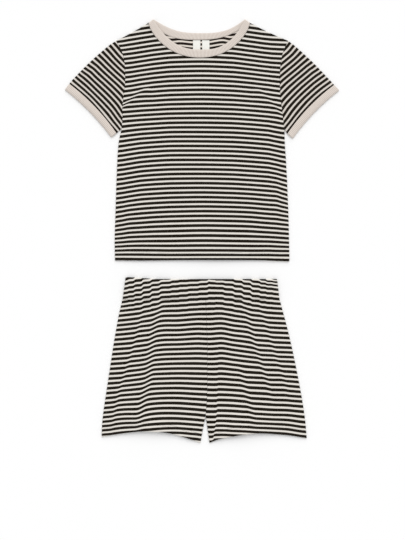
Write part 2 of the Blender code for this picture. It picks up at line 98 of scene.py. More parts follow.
# Edges: how tightly the cloth rolls over where it is folded, hemmed or sewn to its neighbour
FOLD_ROLL = 1.3 * MM
HEM_ROLL = 1.0 * MM
SEAM_ROLL = 0.55 * MM
HEM_DEPTH = 18.0 * MM  # turned up and sewn with two needles
NEEDLE_GAP = 4.0 * MM
NEEDLE_ROWS = (HEM_DEPTH, HEM_DEPTH - NEEDLE_GAP)
NEEDLE_DIP = 0.25 * MM
NEEDLE_DIP_WIDTH = 0.9 * MM
HEM_STEP = 0.3 * MM
STITCH = 2.8 * MM
THREAD = 0.38 * MM
EDGE_LINES = (0.25, 0.7, 1.4)  # distances from a panel's edge, in millimetres, of the lines on its roll
RIB_PITCH = 2.6 * MM  # twice the real pitch, so that the ribs show
RIB_RELIEF = 0.16 * MM


def table(row, *lines):
    """A short table: each line of values as a row with named columns."""
    return tuple(row(*values) for values in lines)


# T-shirt outline, from the hem to the shoulder tips: measured distances of its edges from the middle
EdgeRow = namedtuple("EdgeRow", "height left right")
TEE_EDGES = table(
    EdgeRow,
    (0, 156.8, 156.8), (38, 157.4, 156.2), (90, 155.9, 154.9), (145, 154.2, 152.7), (190, 152.3, 150.3),
    (217, 150.0, 148.4), (240, 145.2, 147.8), (258, 143.4, 145.4), (276, 143.6, 143.4),
    (294, 142.0, 141.2), (312, 139.5, 140.0), (331, 138.6, 139.7), (352, 139.1, 140.7),
    (372, 142.3, 143.9), (386, 148.0, 148.9), (398, 154.6, 154.4),
)
# How far the hem's edge lies above its lowest line, by the place across
HemHeight = namedtuple("HemHeight", "x height")
TEE_HEM = table(
    HemHeight,
    (-157.5, 2.8), (-110, 2.7), (-40, 3.5), (70, 3.5), (105, 3.2), (132, 2.0), (156.4, 1.3),
)
ARMPIT_HEIGHT = 239.5
SHOULDER_HEIGHT = 398
# How far each shoulder seam bows up between the neckband and the shoulder tip, and how far it runs up
# beside the neckband's fold
SHOULDER_BOWS = {"left": -0.9 * MM, "right": -1.3 * MM}
SHOULDER_RISE = 3.8 * MM
SHOULDER_RISE_SHARE = 0.06  # of the neckline, over which it dies out

# Edges of the neckband: half width between the folds, height of the folds above the hem, and the dip
# between them, whose curve is dip * (1 - x ** bend) ** fullness and leans to the right by the lean. Bend
# and fullness were fitted by a program, and one of them was then changed
NeckEdge = namedtuple("NeckEdge", "half_width height dip bend fullness lean")
FRONT_NECK_SEAM = NeckEdge(90.1, 427.2, 59.8, 2.15, 0.72, 1.2)
FRONT_NECK_RIM = NeckEdge(80.6, 435.1, 53.3, 2.6, 0.9, 4.0)
BACK_NECK_SEAM = NeckEdge(90.1, 427.2, 27.4, 2.85, 1.28, -4.0)
BACK_NECK_RIM = NeckEdge(80.6, 435.1, 23.2, 2.9, 1.18, 4.0)
NECK_CROWDING = 0.6  # how far the points of these edges gather towards the folds

# Sleeves: points on the folded top edge, from the shoulder tip to the cuff seam
EdgePoint = namedtuple("EdgePoint", "out height")
SLEEVE_FOLD = {
    "left": table(
        EdgePoint,
        (171.0, 387), (203.4, 358.5), (231.6, 329.6), (239.0, 320.6),
    ),
    "right": table(
        EdgePoint,
        (170.0, 386), (199.8, 358.5), (227.0, 330.0), (237.3, 318.8),
    ),
}
CuffRow = namedtuple("CuffRow", "seam_end rim_start rim_end seam_bow rim_bow")
CUFFS = {
    "left": CuffRow(EdgePoint(154.0, 231.6), EdgePoint(247.3, 309.8), EdgePoint(163.6, 223.9), 4.9, 4.2),
    "right": CuffRow(EdgePoint(152.9, 230.8), EdgePoint(246.7, 308.7), EdgePoint(162.9, 221.9), 5.0, 4.5),
}

# Shorts outline below the top of the casing: measured distances of the side seams from the centre front
# seam
SideRow = namedtuple("SideRow", "depth left right")
SHORTS_EDGES = table(
    SideRow,
    (0, 144.0, 129.0), (34, 148.7, 132.6), (45, 151.4, 135.6), (60, 155.1, 139.6), (80, 159.0, 145.2),
    (110, 164.2, 152.4), (145, 169.6, 160.1), (180, 174.9, 167.0), (215, 180.2, 173.5),
    (250, 185.0, 178.7), (285, 187.4, 182.0),
)
# How far the centre front seam runs to the right of its ends
SeamRow = namedtuple("SeamRow", "depth shift")
FRONT_SEAM = table(
    SeamRow,
    (37, 0.5), (60, 1.1), (81, 1.8), (110, 2.9), (155, 3.1), (200, 3.0), (227, 1.7), (250, 0.0),
)
HemPoint = namedtuple("HemPoint", "out depth")
LEG_HEMS = {
    "left": table(
        HemPoint,
        (187.0, 284.0), (154, 278.3), (121, 274.3), (104, 273.8), (78, 275.4), (57, 279.0), (35, 285.7),
        (9.3, 294.4),
    ),
    "right": table(
        HemPoint,
        (7.2, 294.8), (26, 287.5), (48, 283.1), (78, 278.4), (102, 277.4), (134, 279.7), (156, 281.8),
        (182.0, 286.5),
    ),
}
# Sizes that the rows of stitches are spaced by, in metres: along the hems, and of a leg below the casing
TEE_WIDTH = 0.313
LEG_WIDTH = 0.180
LEG_HEIGHT = 0.252

# Each leg's front hem stands up off the back, highest this far from the centre front seam
HEM_BELLS = {"left": 97, "right": 72}
BELL_HEIGHT = 4.3 * MM
BELL_HALF_WIDTH = 45 * MM
BELL_UP = 0.24  # share of the leg's length over which it dies out

# Folds of the upper layer: points of the line as (y, x) from its upper end, height and half width of the
# ridge, how far the stripes drop from its inner to its outer side, and over what width. The lines follow
# measured steps of the stripes
Fold = namedtuple("Fold", "line height width drop spread")
TEE_FOLDS = table(
    Fold,
    (((262, -99), (244, -120), (226, -142), (215, -155)), 0.8, 12, 0, 1),
    (((242, 116), (227, 130), (213, 142), (202, 152)), 0.7, 11, 0, 1),
    (((120, 134), (70, 137), (20, 139)), 0.9, 12, 0, 1),
    (((60, -134), (26, -139), (-8, -142)), 0.7, 12, 0, 1),
)
SHORTS_FOLDS = table(
    Fold,
    (((-123, -74), (-168, -86), (-222, -93), (-267, -97), (-300, -106), (-350, -113)), 1.2, 10, 5.0, 18),
    (((-134, -108), (-192, -120), (-246, -136), (-289, -150), (-346, -160)), 0.9, 9, 2.2, 9),
    (((-135, -56), (-180, -60), (-230, -66)), 0.6, 9, 0, 1),
    (((-118, 74), (-140, 80), (-180, 88), (-222, 101), (-290, 121)), 1.1, 9, 3.0, 13),
    (((-240, 69), (-287, 79), (-340, 91)), 1.0, 10, 2.9, 17),
    (((-125, 102), (-163, 114), (-206, 127), (-267, 147), (-290, 153)), 0.9, 9, 2.0, 12),
    (((-135, 42), (-180, 46), (-235, 50)), 0.6, 9, 0, 1),
    (((-190, 28.8), (-250, 28.2), (-320, 26.4), (-368, 20)), -0.5, 4, 0, 1),
)

# Gathers under the casing: distance from the centre front seam (left is negative), height and reach
Gather = namedtuple("Gather", "across height reach")
GATHERS = table(
    Gather,
    (-139.5, 0.5, 24), (-128, 0.7, 30), (-113.5, 0.6, 38), (-98, 0.7, 26), (-82, 0.8, 46),
    (-61.5, 0.6, 30), (-48, 0.7, 34), (-31.5, 0.5, 24), (-12, 0.6, 36), (5.5, 0.6, 28), (19, 0.5, 40),
    (32.5, 0.7, 26), (51, 0.6, 34), (66.5, 0.8, 44), (82, 0.7, 28), (98, 0.8, 40), (109, 0.6, 26),
    (121.5, 0.5, 22),
)
GATHER_HALF_WIDTH = 4.4 * MM
GATHER_END = 0.05  # share of a panel's width over which they die out at the side seam

LabelRow = namedtuple("LabelRow", "side middle width length")
NECK_LABELS = (LabelRow("left", -9.9, 13.2, 22.0), LabelRow("right", 6.4, 13.2, 22.0))

# Stripes: the distance from one dark stripe to the next, and where one of them lies in the middle.
# TEE_DROOP, SHORTS_DROOP, FRONT_STRIP and SLEEVE_BOWS hold a program's measures of where the stripes run,
# rounded and then partly corrected. They weren't chosen by hand
TEE_PITCH = 8.407 * MM
TEE_STRIPE_Y = 305.4 * MM
INSIDE_PITCH = 7.5 * MM
INSIDE_STRIPE_Y = 343.8 * MM
SHORTS_PITCH = 9.02 * MM
SHORTS_STRIPE_DEPTH = -1.0 * MM
TEE_DARK_SHARE = 0.61
SLEEVE_DARK_SHARE = 0.61
SHORTS_DARK_SHARE = 0.60
INSIDE_DARK_SHARE = 0.6

# How much lower the stripes of the T-shirt lie than evenly spaced ones: by height and by distance from
# the middle
TEE_DROOP_X = (-148, -132, -111, -87, -57, 1, 55, 87, 119, 134, 146)
TEE_DROOP = {
    -50: (1.7, 1.9, 2.2, 2.4, 2.4, 2.2, 2.3, 2.4, 2.8, 3.2, 3.5),
    -40: (2.7, 2.4, 2.5, 2.9, 3.3, 3.1, 3.2, 3.5, 3.4, 3.8, 3.9),
    -20: (5.6, 4.2, 3.5, 3.4, 3.3, 2.6, 3.2, 3.7, 4.1, 4.9, 5.7),
    0: (7.8, 5.3, 4.0, 2.9, 2.2, 1.1, 1.8, 2.6, 4.5, 5.5, 6.6),
    20: (9.0, 6.0, 4.2, 2.4, 1.1, 0.1, 0.8, 2.1, 4.7, 5.8, 7.6),
    60: (9.7, 7.1, 4.1, 2.3, 0.8, -0.1, 1.1, 2.7, 5.3, 6.7, 10.5),
    100: (9.8, 7.4, 4.2, 2.1, 0.6, 0.2, 1.3, 3.3, 5.6, 8.3, 11.6),
    140: (9.6, 7.3, 4.2, 2.1, 0.5, 0.5, 1.6, 3.5, 6.2, 9.2, 11.7),
    180: (8.6, 6.7, 4.4, 2.6, 0.8, 0.7, 1.7, 3.7, 6.4, 9.2, 11.0),
    210: (7.0, 6.0, 4.4, 2.8, 1.2, 0.6, 1.8, 3.9, 6.7, 8.6, 11.0),
    258: (11.5, 10.4, 6.9, 3.8, 1.5, 0.4, 2.1, 4.8, 8.3, 10.5, 11.8),
    285: (11.8, 10.9, 7.8, 4.4, 1.5, 0.3, 2.2, 5.5, 9.2, 10.7, 11.6),
    315: (12.6, 11.3, 8.4, 4.7, 1.4, 0.1, 2.2, 6.2, 10.1, 11.2, 11.6),
    345: (14.5, 11.8, 8.4, 4.9, 1.8, 0.0, 2.3, 6.3, 10.3, 11.3, 11.8),
}
# How far the stripes inside the neck run up from the middle, by the place across
INSIDE_LIFT_X = (-65, -54, -40, -17, 12, 36, 50, 65)
INSIDE_LIFT = (2.5, 1.2, 2.2, 0.2, 0.8, 4.2, 2.2, 4.0)
# Creases that run inwards and up from above the armpits. The stripes step down across them, most of all
# at the seam: a point of the line, its slope, and the extra step there
Tuck = namedtuple("Tuck", "x y slope extra")
UNDERARM_TUCKS = (Tuck(-142, 226, 0.83, 3.5), Tuck(142, 213, -1.13, 3.0))
TUCK_WIDTH = 13
TUCK_BAND = (210, 258)  # heights between which the step happens
TUCK_END_X = 85  # distance from the middle at which it begins
TUCK_END_FADE = 20
SEAM_STEP_X = 147  # distance from the middle at which the extra step is whole
SEAM_STEP_REACH = 13
SEAM_STEP_FADE = 12  # height over which it dies out above the crease

# How much lower the stripes of the shorts lie: by depth below the top and by distance from the centre
# front seam
SHORTS_DROOP_X = (-180, -149, -119, -97, -75, -48, -16, -2, 7, 14, 19, 31, 50, 68, 90, 119, 147, 178)
SHORTS_DROOP = {
    1: (34, 29.7, 21.3, 14.6, 9.5, 5.2, 3.6, 2.0, -0.8, 0.8, 1.9, 2.1, 4.0, 8.8, 15.5, 26.2, 31, 36),
    8: (33, 29.0, 21.2, 13.6, 8.1, 4.5, 2.4, 0.6, -1.6, -0.8, -0.5, 0.2, 3.5, 7.5, 14.3, 20.4, 24.3, 29),
    28: (30, 26.5, 19.8, 12.4, 6.8, 4.5, 1.4, 0.5, -0.8, -0.7, -0.9, 0.0, 3.3, 7.4, 13.4, 17.8, 20.8, 23),
    43: (26, 22.4, 16.8, 10.8, 5.6, 4.0, 1.4, 0.6, -0.1, 0.0, -0.7, 0.3, 3.3, 6.9, 11.5, 15.3, 17.5, 20),
    60: (20, 17.0, 13.2, 8.3, 4.4, 3.6, 1.2, 0.8, 0.7, 0.4, -0.1, 0.2, 3.4, 6.5, 9.6, 12.5, 14.2, 16),
    88: (15, 12.7, 9.0, 6.4, 3.2, 2.8, 0.4, 0.7, 0.8, 0.4, -0.2, -0.3, 3.2, 5.3, 8.7, 11.0, 12.5, 14),
    134: (12.5, 10.5, 7.8, 4.0, 1.3, 0.4, -0.5, -0.1, 0.1, -0.1, -0.5, -0.8, 2.0, 4.6, 7.6, 9.4, 10.5, 12),
    179: (10.8, 8.7, 5.0, 0.8, -0.4, -1.0, -0.3, 0.1, 0.1, 0.3, 0.2, 0.2, 1.7, 2.9, 4.0, 5.2, 5.9, 8.5),
    215: (9.6, 6.2, 3.8, 0.2, -1.4, -1.4, 0.4, 1.3, 1.7, 1.8, 1.8, 1.9, 2.7, 4.2, 5.4, 7.0, 7.9, 10),
    245: (9.3, 5.3, 4.3, 0.1, -1.4, -0.9, 1.3, 2.8, 3.2, 3.2, 3.2, 3.2, 4.0, 5.1, 6.0, 7.9, 8.8, 12),
    265: (9.0, 4.6, 2.6, 0.3, -1.1, -1.1, 1.4, 2.8, 3.2, 3.1, 3.0, 2.9, 4.1, 4.7, 6.2, 7.8, 9.8, 14.4),
    288: (7.4, 4.2, 0.5, -0.5, -3.9, -3.5, 0.0, 2.0, 2.0, 1.5, 1.0, 0.5, 1.0, 2.0, 3.5, 5.5, 8.0, 13.0),
}
# To the right of the centre front seam a strip lies a little lower, up to a pressed crease
StripRow = namedtuple("StripRow", "depth width drop")
FRONT_STRIP = table(
    StripRow,
    (100, 23.0, 0.0), (134, 22.7, 0.4), (179, 22.0, 0.6), (215, 21.0, 1.1), (245, 19.8, 2.0),
    (265, 17.5, 2.5), (288, 14.0, 3.0),
)
CREASE_WIDTH = 2.5  # over which the stripes step at that crease
# Between the gathers the shorts' stripes climb in steps, down to this depth and then less and less
STAIR_STRENGTH = 0.75  # 1 gives full steps
STAIR_DEPTH = 30
STAIR_FADE = 45
# The sleeves' stripes run along the cuff and bow towards the armhole, by this much: by the height above the
# cuff seam, counted in stripes, and by the share of the cuff's width from its upper corner
SLEEVE_BOW_SHARES = (0, 0.1, 0.2, 0.35, 0.5, 0.7, 0.9)
SLEEVE_BOWS = {
    "left": {
        0.4: (0.7, 2.3, 3.8, 5.3, 5.4, 3.3, 2.2),
        0.9: (0.9, 2.2, 3.7, 5.4, 5.4, 3.9, 2.0),
        1.5: (0.5, 1.6, 3.0, 4.4, 4.6, 4.0, 1.2),
        3: (-0.8, 1.0, 2.1, 2.7, 3.5, 3.1, -0.2),
        5: (-2.2, 0.3, 0.7, 2.0, 2.9, 2.6, -1.3),
        8: (-1.5, -0.7, -0.4, 0.6, 2.0, 2.4, 1.1),
        12: (-0.6, -1.0, -1.7, -1.4, 0.0, 1.1, 1.2),
    },
    "right": {
        0.4: (0.1, 2.2, 4.1, 5.7, 6.0, 5.0, 2.5),
        0.9: (0.2, 2.3, 4.3, 5.9, 6.1, 5.2, 2.6),
        1.5: (-0.2, 2.0, 4.0, 5.7, 6.1, 4.6, 2.0),
        3: (-0.7, 1.5, 3.6, 5.1, 6.0, 5.0, 1.3),
        5: (-1.5, 1.0, 2.5, 4.5, 5.3, 5.1, 1.8),
        8: (-1.2, 0.1, 1.2, 3.4, 5.4, 5.3, 3.3),
        12: (0.2, -0.9, 0.0, 2.1, 3.8, 4.8, 3.3),
    },
}


# ---- curves in plan ----


def hermite(before, start, end, after, share):
    """Catmull-Rom value between start and end."""
    a = 2 * start
    b = end - before
    c = 2 * before - 5 * start + 4 * end - after
    d = 3 * start - before - 3 * end + after
    return (a + b * share + c * share**2 + d * share**3) * 0.5


def smooth_value(places, values, at):
    """The smooth value at a place among rising places, straight beyond their ends."""
    last = len(places) - 1
    lower = next((i for i in range(last) if places[i + 1] >= at), last - 1)
    share = (at - places[lower]) / (places[lower + 1] - places[lower])
    if not 0 <= share <= 1:
        return values[lower] + (values[lower + 1] - values[lower]) * share
    near = [values[min(max(i, 0), last)] for i in range(lower - 1, lower + 3)]
    return hermite(*near, share)


def read_table(rows, column, at):
    """Smooth value of a table's column where its first column has this value."""
    return smooth_value([row[0] for row in rows], [getattr(row, column) for row in rows], at)


def smooth_path(points, steps=6):
    """The smooth curve through the points, as a function of the share of its length."""
    ends = [points[0] * 2 - points[1], *points, points[-1] * 2 - points[-2]]
    dense = [points[0]]
    for row in range(1, len(ends) - 2):
        for step in range(1, steps + 1):
            dense.append(hermite(*ends[row - 1 : row + 3], step / steps))
    lengths = [0.0]
    for start, end in zip(dense, dense[1:]):
        lengths.append(lengths[-1] + (end - start).length)

    def at(share):
        wanted = min(max(share, 0.0), 1.0) * lengths[-1]
        row = next((i for i in range(1, len(lengths)) if lengths[i] >= wanted), len(lengths) - 1)
        part = (wanted - lengths[row - 1]) / (lengths[row] - lengths[row - 1])
        return dense[row - 1].lerp(dense[row], part)

    return at


def evened(path, steps=60):
    """The same path, with its shares spread evenly along its length."""
    return smooth_path([path(i / steps) for i in range(steps + 1)], 2)


def bowed_path(start, end, bow):
    """An arc-like line from start to end that bows by this much to the left of its direction."""
    along = end - start
    side = Vector((-along.y, along.x)).normalized()
    return lambda share: start + along * share + side * (4 * bow * share * (1 - share))


def joined(*pieces):
    """Paths run one after the other: each piece is (path, share of the whole at which it ends)."""

    def at(share):
        start = 0.0
        for path, end in pieces[:-1]:
            if share <= end:
                return path((share - start) / (end - start))
            start = end
        return pieces[-1][0]((share - start) / (1.0 - start))

    return at


def rise(share):
    """0 at and below 0, 1 at and above 1, smooth between."""
    share = min(max(share, 0.0), 1.0)
    return share * share * (3 - 2 * share)


def arch(share, edge):
    """0 at both ends, 1 from this far in."""
    return rise(share / edge) * rise((1 - share) / edge)


class Patch:
    """The plan of a panel: a surface stretched between four edges, each a path. A higher hold keeps the
    bends of the left and right edges closer to those edges."""

    def __init__(self, left, right, bottom, top, hold=1):
        self.left, self.right, self.bottom, self.top = map(functools.cache, (left, right, bottom, top))
        self.hold = hold
        self.left_bend = functools.cache(lambda up: left(up) - left(0).lerp(left(1), up))
        self.right_bend = functools.cache(lambda up: right(up) - right(0).lerp(right(1), up))

    def __call__(self, across, up):
        column = self.bottom(across).lerp(self.top(across), up)
        left_part = self.left_bend(up) * (1 - across) ** self.hold
        return column + left_part + self.right_bend(up) * across**self.hold

    def edge_distances(self, across, up, point):
        """How far the point lies from the left, right, bottom and top edges."""
        edges = (self.left(up), self.right(up), self.bottom(across), self.top(across))
        return [(point - edge).length for edge in edges]


# ---- T-shirt plan ----


def mirrored(side):
    return -1 if side == "left" else 1


@functools.cache
def tee_edge(side, height):
    """Point of the T-shirt's side seam or armhole seam, this many millimetres above the hem."""
    out = read_table(TEE_EDGES, side, height) * MM
    return Vector((mirrored(side) * out, TEE_HEM_Y + height * MM))


def armhole(side, out=0.0):
    """The armhole seam from the armpit to the shoulder tip, moved out by this much."""
    span = SHOULDER_HEIGHT - ARMPIT_HEIGHT
    shift = Vector((mirrored(side) * out, 0))
    return lambda share: tee_edge(side, ARMPIT_HEIGHT + span * share) + shift


def tee_point(side, point):
    """A point given as distance from the middle and height above the hem."""
    return Vector((mirrored(side) * point.out * MM, TEE_HEM_Y + point.height * MM))


def neck_path(edge, out=0.0):
    """An edge of the neckband from the left fold to the right one, moved out by this much."""

    def at(share):
        crowded = math.sin((share - 0.5) * math.pi)
        across = NECK_CROWDING * crowded + (1 - NECK_CROWDING) * (2 * share - 1)
        dip = edge.dip * (1 - abs(across) ** edge.bend) ** edge.fullness * MM
        height = edge.height * MM - dip - out
        lean = edge.lean * MM * (1 - across**2)
        return Vector((NECK_X + (edge.half_width * MM + out) * across + lean, TEE_HEM_Y + height))

    return at


def tee_side(side):
    """The side seam and the armhole seam, from the hem to the shoulder tip."""
    start = TEE_HEM[0 if side == "left" else -1].height

    def side_seam(share):
        return tee_edge(side, start + (ARMPIT_HEIGHT - start) * share)

    return joined((side_seam, ARMPIT_UP), (armhole(side), 1))


def tee_plan(neck_seam):
    """The plan of a T-shirt panel with this neckline."""
    seam = evened(neck_path(neck_seam, SEAM_GAP))

    def neckline(share):
        near_fold = 1 - rise(min(share, 1 - share) / SHOULDER_RISE_SHARE)
        return seam(share) + Vector((0, SHOULDER_RISE * near_fold))

    left_shoulder = bowed_path(tee_edge("left", SHOULDER_HEIGHT), neckline(0), SHOULDER_BOWS["left"])
    right_shoulder = bowed_path(neckline(1), tee_edge("right", SHOULDER_HEIGHT), SHOULDER_BOWS["right"])
    top = joined((left_shoulder, SHOULDER_SHARE), (neckline, 1 - SHOULDER_SHARE), (right_shoulder, 1))
    left = tee_side("left")
    right = tee_side("right")

    def hem(share):
        across = (top(share).x - top(0).x) / (top(1).x - top(0).x)
        x = left(0).lerp(right(0), across).x
        return Vector((x, TEE_HEM_Y + read_table(TEE_HEM, "height", x / MM) * MM))

    return Patch(left, right, hem, top, hold=6)


def sleeve_plan(side):
    """The plan of a folded sleeve, across from the top fold to the underarm and up from cuff to armhole."""
    seam = armhole(side, SEAM_GAP)
    corner = tee_point(side, CUFFS[side].seam_end)
    fold = smooth_path([tee_point(side, p) for p in reversed(SLEEVE_FOLD[side])] + [seam(1)])
    underarm = smooth_path([corner, seam(0)])
    bow = -mirrored(side) * CUFFS[side].seam_bow * MM
    cuff_seam = bowed_path(fold(0), corner, bow)
    return Patch(fold, underarm, cuff_seam, lambda share: seam(1 - share))


def cuff_plan(side):
    """The plan of a flattened cuff, across from the top fold to the underarm and up from seam to rim."""
    row = CUFFS[side]
    inwards = -mirrored(side) * MM
    rim = bowed_path(tee_point(side, row.rim_start), tee_point(side, row.rim_end), inwards * row.rim_bow)
    fold_corner = tee_point(side, SLEEVE_FOLD[side][-1])
    seam = bowed_path(fold_corner, tee_point(side, row.seam_end), inwards * row.seam_bow)
    seam_share = 2 * SEAM_GAP / (seam(0.5) - rim(0.5)).length
    return lambda across, up: seam(across).lerp(rim(across), seam_share + up * (1 - seam_share))


# ---- shorts plan ----


def shorts_point(side, out, depth):
    """A point this far out from the centre front seam and below the top of the casing."""
    return Vector((FRONT_SEAM_X + mirrored(side) * out, WAIST_Y - depth))


def shorts_edge(side, depth):
    """Point of the shorts' side seam this far below the top of the casing."""
    return shorts_point(side, read_table(SHORTS_EDGES, side, depth / MM) * MM, depth)


def seam_shift(depth):
    """How far the centre front seam lies to the right, this many millimetres below the top."""
    depth = min(max(depth, FRONT_SEAM[0].depth), FRONT_SEAM[-1].depth)
    return read_table(FRONT_SEAM, "shift", depth) * MM


def leg_plan(side):
    """The plan of one leg panel below the casing, up from the hem."""
    hem = smooth_path([shorts_point(side, row.out * MM, row.depth * MM) for row in LEG_HEMS[side]])
    hem_corners = (hem(0), hem(1)) if side == "left" else (hem(1), hem(0))
    top_depth = CASING_DEPTH + SEAM_GAP

    def depths_above(start):
        return [start + (top_depth - start) * i / 10 for i in range(1, 11)]

    side_depths = depths_above(SHORTS_EDGES[-1].depth * MM)
    outer = smooth_path([hem_corners[0]] + [shorts_edge(side, depth) for depth in side_depths])
    crotch = shorts_point(side, SEAM_GAP, CROTCH_DEPTH)
    inseam = smooth_path([hem_corners[1], crotch])
    rise_line = [crotch]
    for depth in depths_above(CROTCH_DEPTH):
        shift = mirrored(side) * seam_shift(depth / MM)
        rise_line.append(shorts_point(side, SEAM_GAP + shift, depth))
    rise_seam = smooth_path(rise_line)
    inner = joined((inseam, CROTCH_UP), (rise_seam, 1))
    left, right = (outer, inner) if side == "left" else (inner, outer)
    return Patch(left, right, hem, smooth_path([left(1), right(1)]))


def casing_plan(across, up):
    """The plan of the waist casing, across from left to right and up to its top fold."""
    depth = CASING_DEPTH * (1 - up)
    left = shorts_edge("left", depth)
    point = left.lerp(shorts_edge("right", depth), across)
    point.y += CORNER_LIFT * up * (1 - rise((point.x - left.x) / CORNER_REACH))
    return point


# ---- stripes ----


def fold_side(fold, point):
    """How far across the fold's line the point lies, in half widths, and the share along the line."""
    heights = [-spot[0] for spot in fold.line]
    line_x = smooth_value(heights, [spot[1] for spot in fold.line], -point.y / MM)
    share = (-point.y / MM - heights[0]) / (heights[-1] - heights[0])
    return (point.x / MM - line_x) / fold.width, share


def read_field(places, rows, x, y):
    """Smooth value at x and y of a table whose rows lie at heights and whose columns lie at places."""
    heights = sorted(rows)
    y = min(max(y, heights[0]), heights[-1])
    columns = [smooth_value(heights, [rows[height][i] for height in heights], y) for i in range(len(places))]
    return smooth_value(places, columns, x)


def front_grain(point):
    """A point's place in the knit of the T-shirt's front."""
    x, y = point.x / MM, point.y / MM
    tuck = UNDERARM_TUCKS[0 if x < 0 else 1]
    above = y - tuck.y - (x - tuck.x) * tuck.slope
    low, high = TUCK_BAND
    stepped = low + (high - low) * rise(above / TUCK_WIDTH + 0.5)
    strength = rise((abs(x) - TUCK_END_X) / TUCK_END_FADE) if low < y < high else 0.0
    droop = read_field(TEE_DROOP_X, TEE_DROOP, x, y + (stepped - y) * strength)
    if above > -TUCK_WIDTH / 2:
        beside = max(0.0, 1 - (SEAM_STEP_X - abs(x)) / SEAM_STEP_REACH)
        fade = math.exp(-max(above, 0.0) / SEAM_STEP_FADE)
        droop += tuck.extra * beside * rise(above / TUCK_WIDTH + 0.5) * fade
    return point.x, point.y - TEE_STRIPE_Y + droop * MM


def back_grain(point):
    """The same on the back, whose stripes show inside the neck: they lie closer together there, and run
    up and down a little on both sides of the labels."""
    x = min(max(point.x / MM, INSIDE_LIFT_X[0]), INSIDE_LIFT_X[-1])
    return point.x, point.y - INSIDE_STRIPE_Y - smooth_value(INSIDE_LIFT_X, INSIDE_LIFT, x) * MM


def sleeve_grain(side, plan):
    """Places in a sleeve's knit, whose stripes follow the cuff seam."""
    start, end = plan.bottom(0), plan.bottom(1)
    along = (end - start).normalized()
    inwards = Vector((along.y, -along.x)) * mirrored(side)
    length = (end - start).length

    def at(point):
        share = (point - start).dot(along) / length
        inside = (point - start).dot(inwards)
        bow = read_field(SLEEVE_BOW_SHARES, SLEEVE_BOWS[side], share, inside / TEE_PITCH)
        return (point - start).dot(along), inside - bow * MM

    return at


def stair(out, strength):
    """Draws the cloth across together at each gather, so that the stripes climb in steps."""
    spots = [gather.across for gather in GATHERS]
    for start, end in zip(spots, spots[1:]):
        if start <= out <= end:
            share = (out - start) / (end - start) - 0.5
            stepped = (start + end) / 2 + 16 * share**5 * (end - start)
            return out + (stepped - out) * strength
    return out


def shorts_grain(point, folded=True):
    """A point's place in the knit of the shorts."""
    depth = (WAIST_Y - point.y) / MM
    out = (point.x - FRONT_SEAM_X) / MM
    droop = 0.0
    for fold in SHORTS_FOLDS if folded else ():
        beside, share = fold_side(fold, point)
        outwards = beside * fold.width * (1 if fold.line[0][1] > 0 else -1)
        ends = rise(share / 0.3 + 0.3) * rise((1.2 - share) / 0.4)
        droop += fold.drop * ends * rise(0.5 + outwards / fold.spread)
    strength = STAIR_STRENGTH * (1 - rise((depth - STAIR_DEPTH) / STAIR_FADE)) if folded else 0.0
    droop += read_field(SHORTS_DROOP_X, SHORTS_DROOP, stair(out, strength), depth)
    if folded and depth > FRONT_STRIP[0].depth and out > seam_shift(depth) / MM:
        from_crease = read_table(FRONT_STRIP, "width", depth) - out
        droop += read_table(FRONT_STRIP, "drop", depth) * rise(from_crease / CREASE_WIDTH + 0.5)
    return point.x, point.y - WAIST_Y + SHORTS_STRIPE_DEPTH + droop * MM


# ---- cloth ----


def ridges(folds, point):
    """Height that the folds add at this point of the plan."""
    total = 0.0
    for fold in folds:
        beside, share = fold_side(fold, point)
        ends = rise(share / 0.3) * rise((1 - share) / 0.3)
        total += fold.height * MM * ends * math.exp(-(beside**2))
    return total


def gathered(point):
    """Height that the gathers add at this point of the shorts, fading out below the casing."""
    below = WAIST_Y - CASING_DEPTH - point.y
    total = 0.0
    for gather in GATHERS:
        beside = (point.x - FRONT_SEAM_X - gather.across * MM) / GATHER_HALF_WIDTH
        fade = rise(1 - below / (gather.reach * MM))
        total += gather.height * MM * fade * math.exp(-(beside**2))
    return total


def uneven(point, size, seed):
    """Smooth chance between -1 and 1 over lumps of this size."""
    return noise.noise(Vector((point.x / size, point.y / size, seed)))


def rolled(distance, radius):
    """How far a rounded edge has dropped at this distance from it."""
    if distance >= radius:
        return 0.0
    return radius - math.sqrt(radius**2 - (radius - distance) ** 2)


def hem_relief(distance):
    """The turned-up hem stands a little higher, and its two rows of stitches draw it in."""
    band = HEM_STEP * rise((HEM_DEPTH + 1.2 * MM - distance) / (1.6 * MM))
    rows = sum(math.exp(-(((distance - row) / NEEDLE_DIP_WIDTH) ** 2)) for row in NEEDLE_ROWS)
    return band - NEEDLE_DIP * rows


def puckers(distance, along, reach, seed):
    """Small waves beside a seam, dying out away from it."""
    wave = noise.noise(Vector((along / (5 * MM), distance / (14 * MM), seed)))
    return 0.35 * MM * wave * math.exp(-distance / reach)


def grid_lines(count, *corners, width):
    """Shares at which a grid of this width in millimetres has its lines: evenly spread between the corners,
    which all get a line, and with some more close to both ends for their rounded edge."""
    stops = [0.0, *corners, 1.0]
    lines = []
    for start, end in zip(stops, stops[1:]):
        steps = max(1, round(count * (end - start)))
        lines += [start + (end - start) * i / steps for i in range(steps)]
    close = [distance / width for distance in EDGE_LINES]
    clear = close[-1] * 1.5
    inner = [line for line in lines if clear < line < 1 - clear]
    return [0.0, *close, *inner, *(1 - line for line in reversed(close)), 1.0]


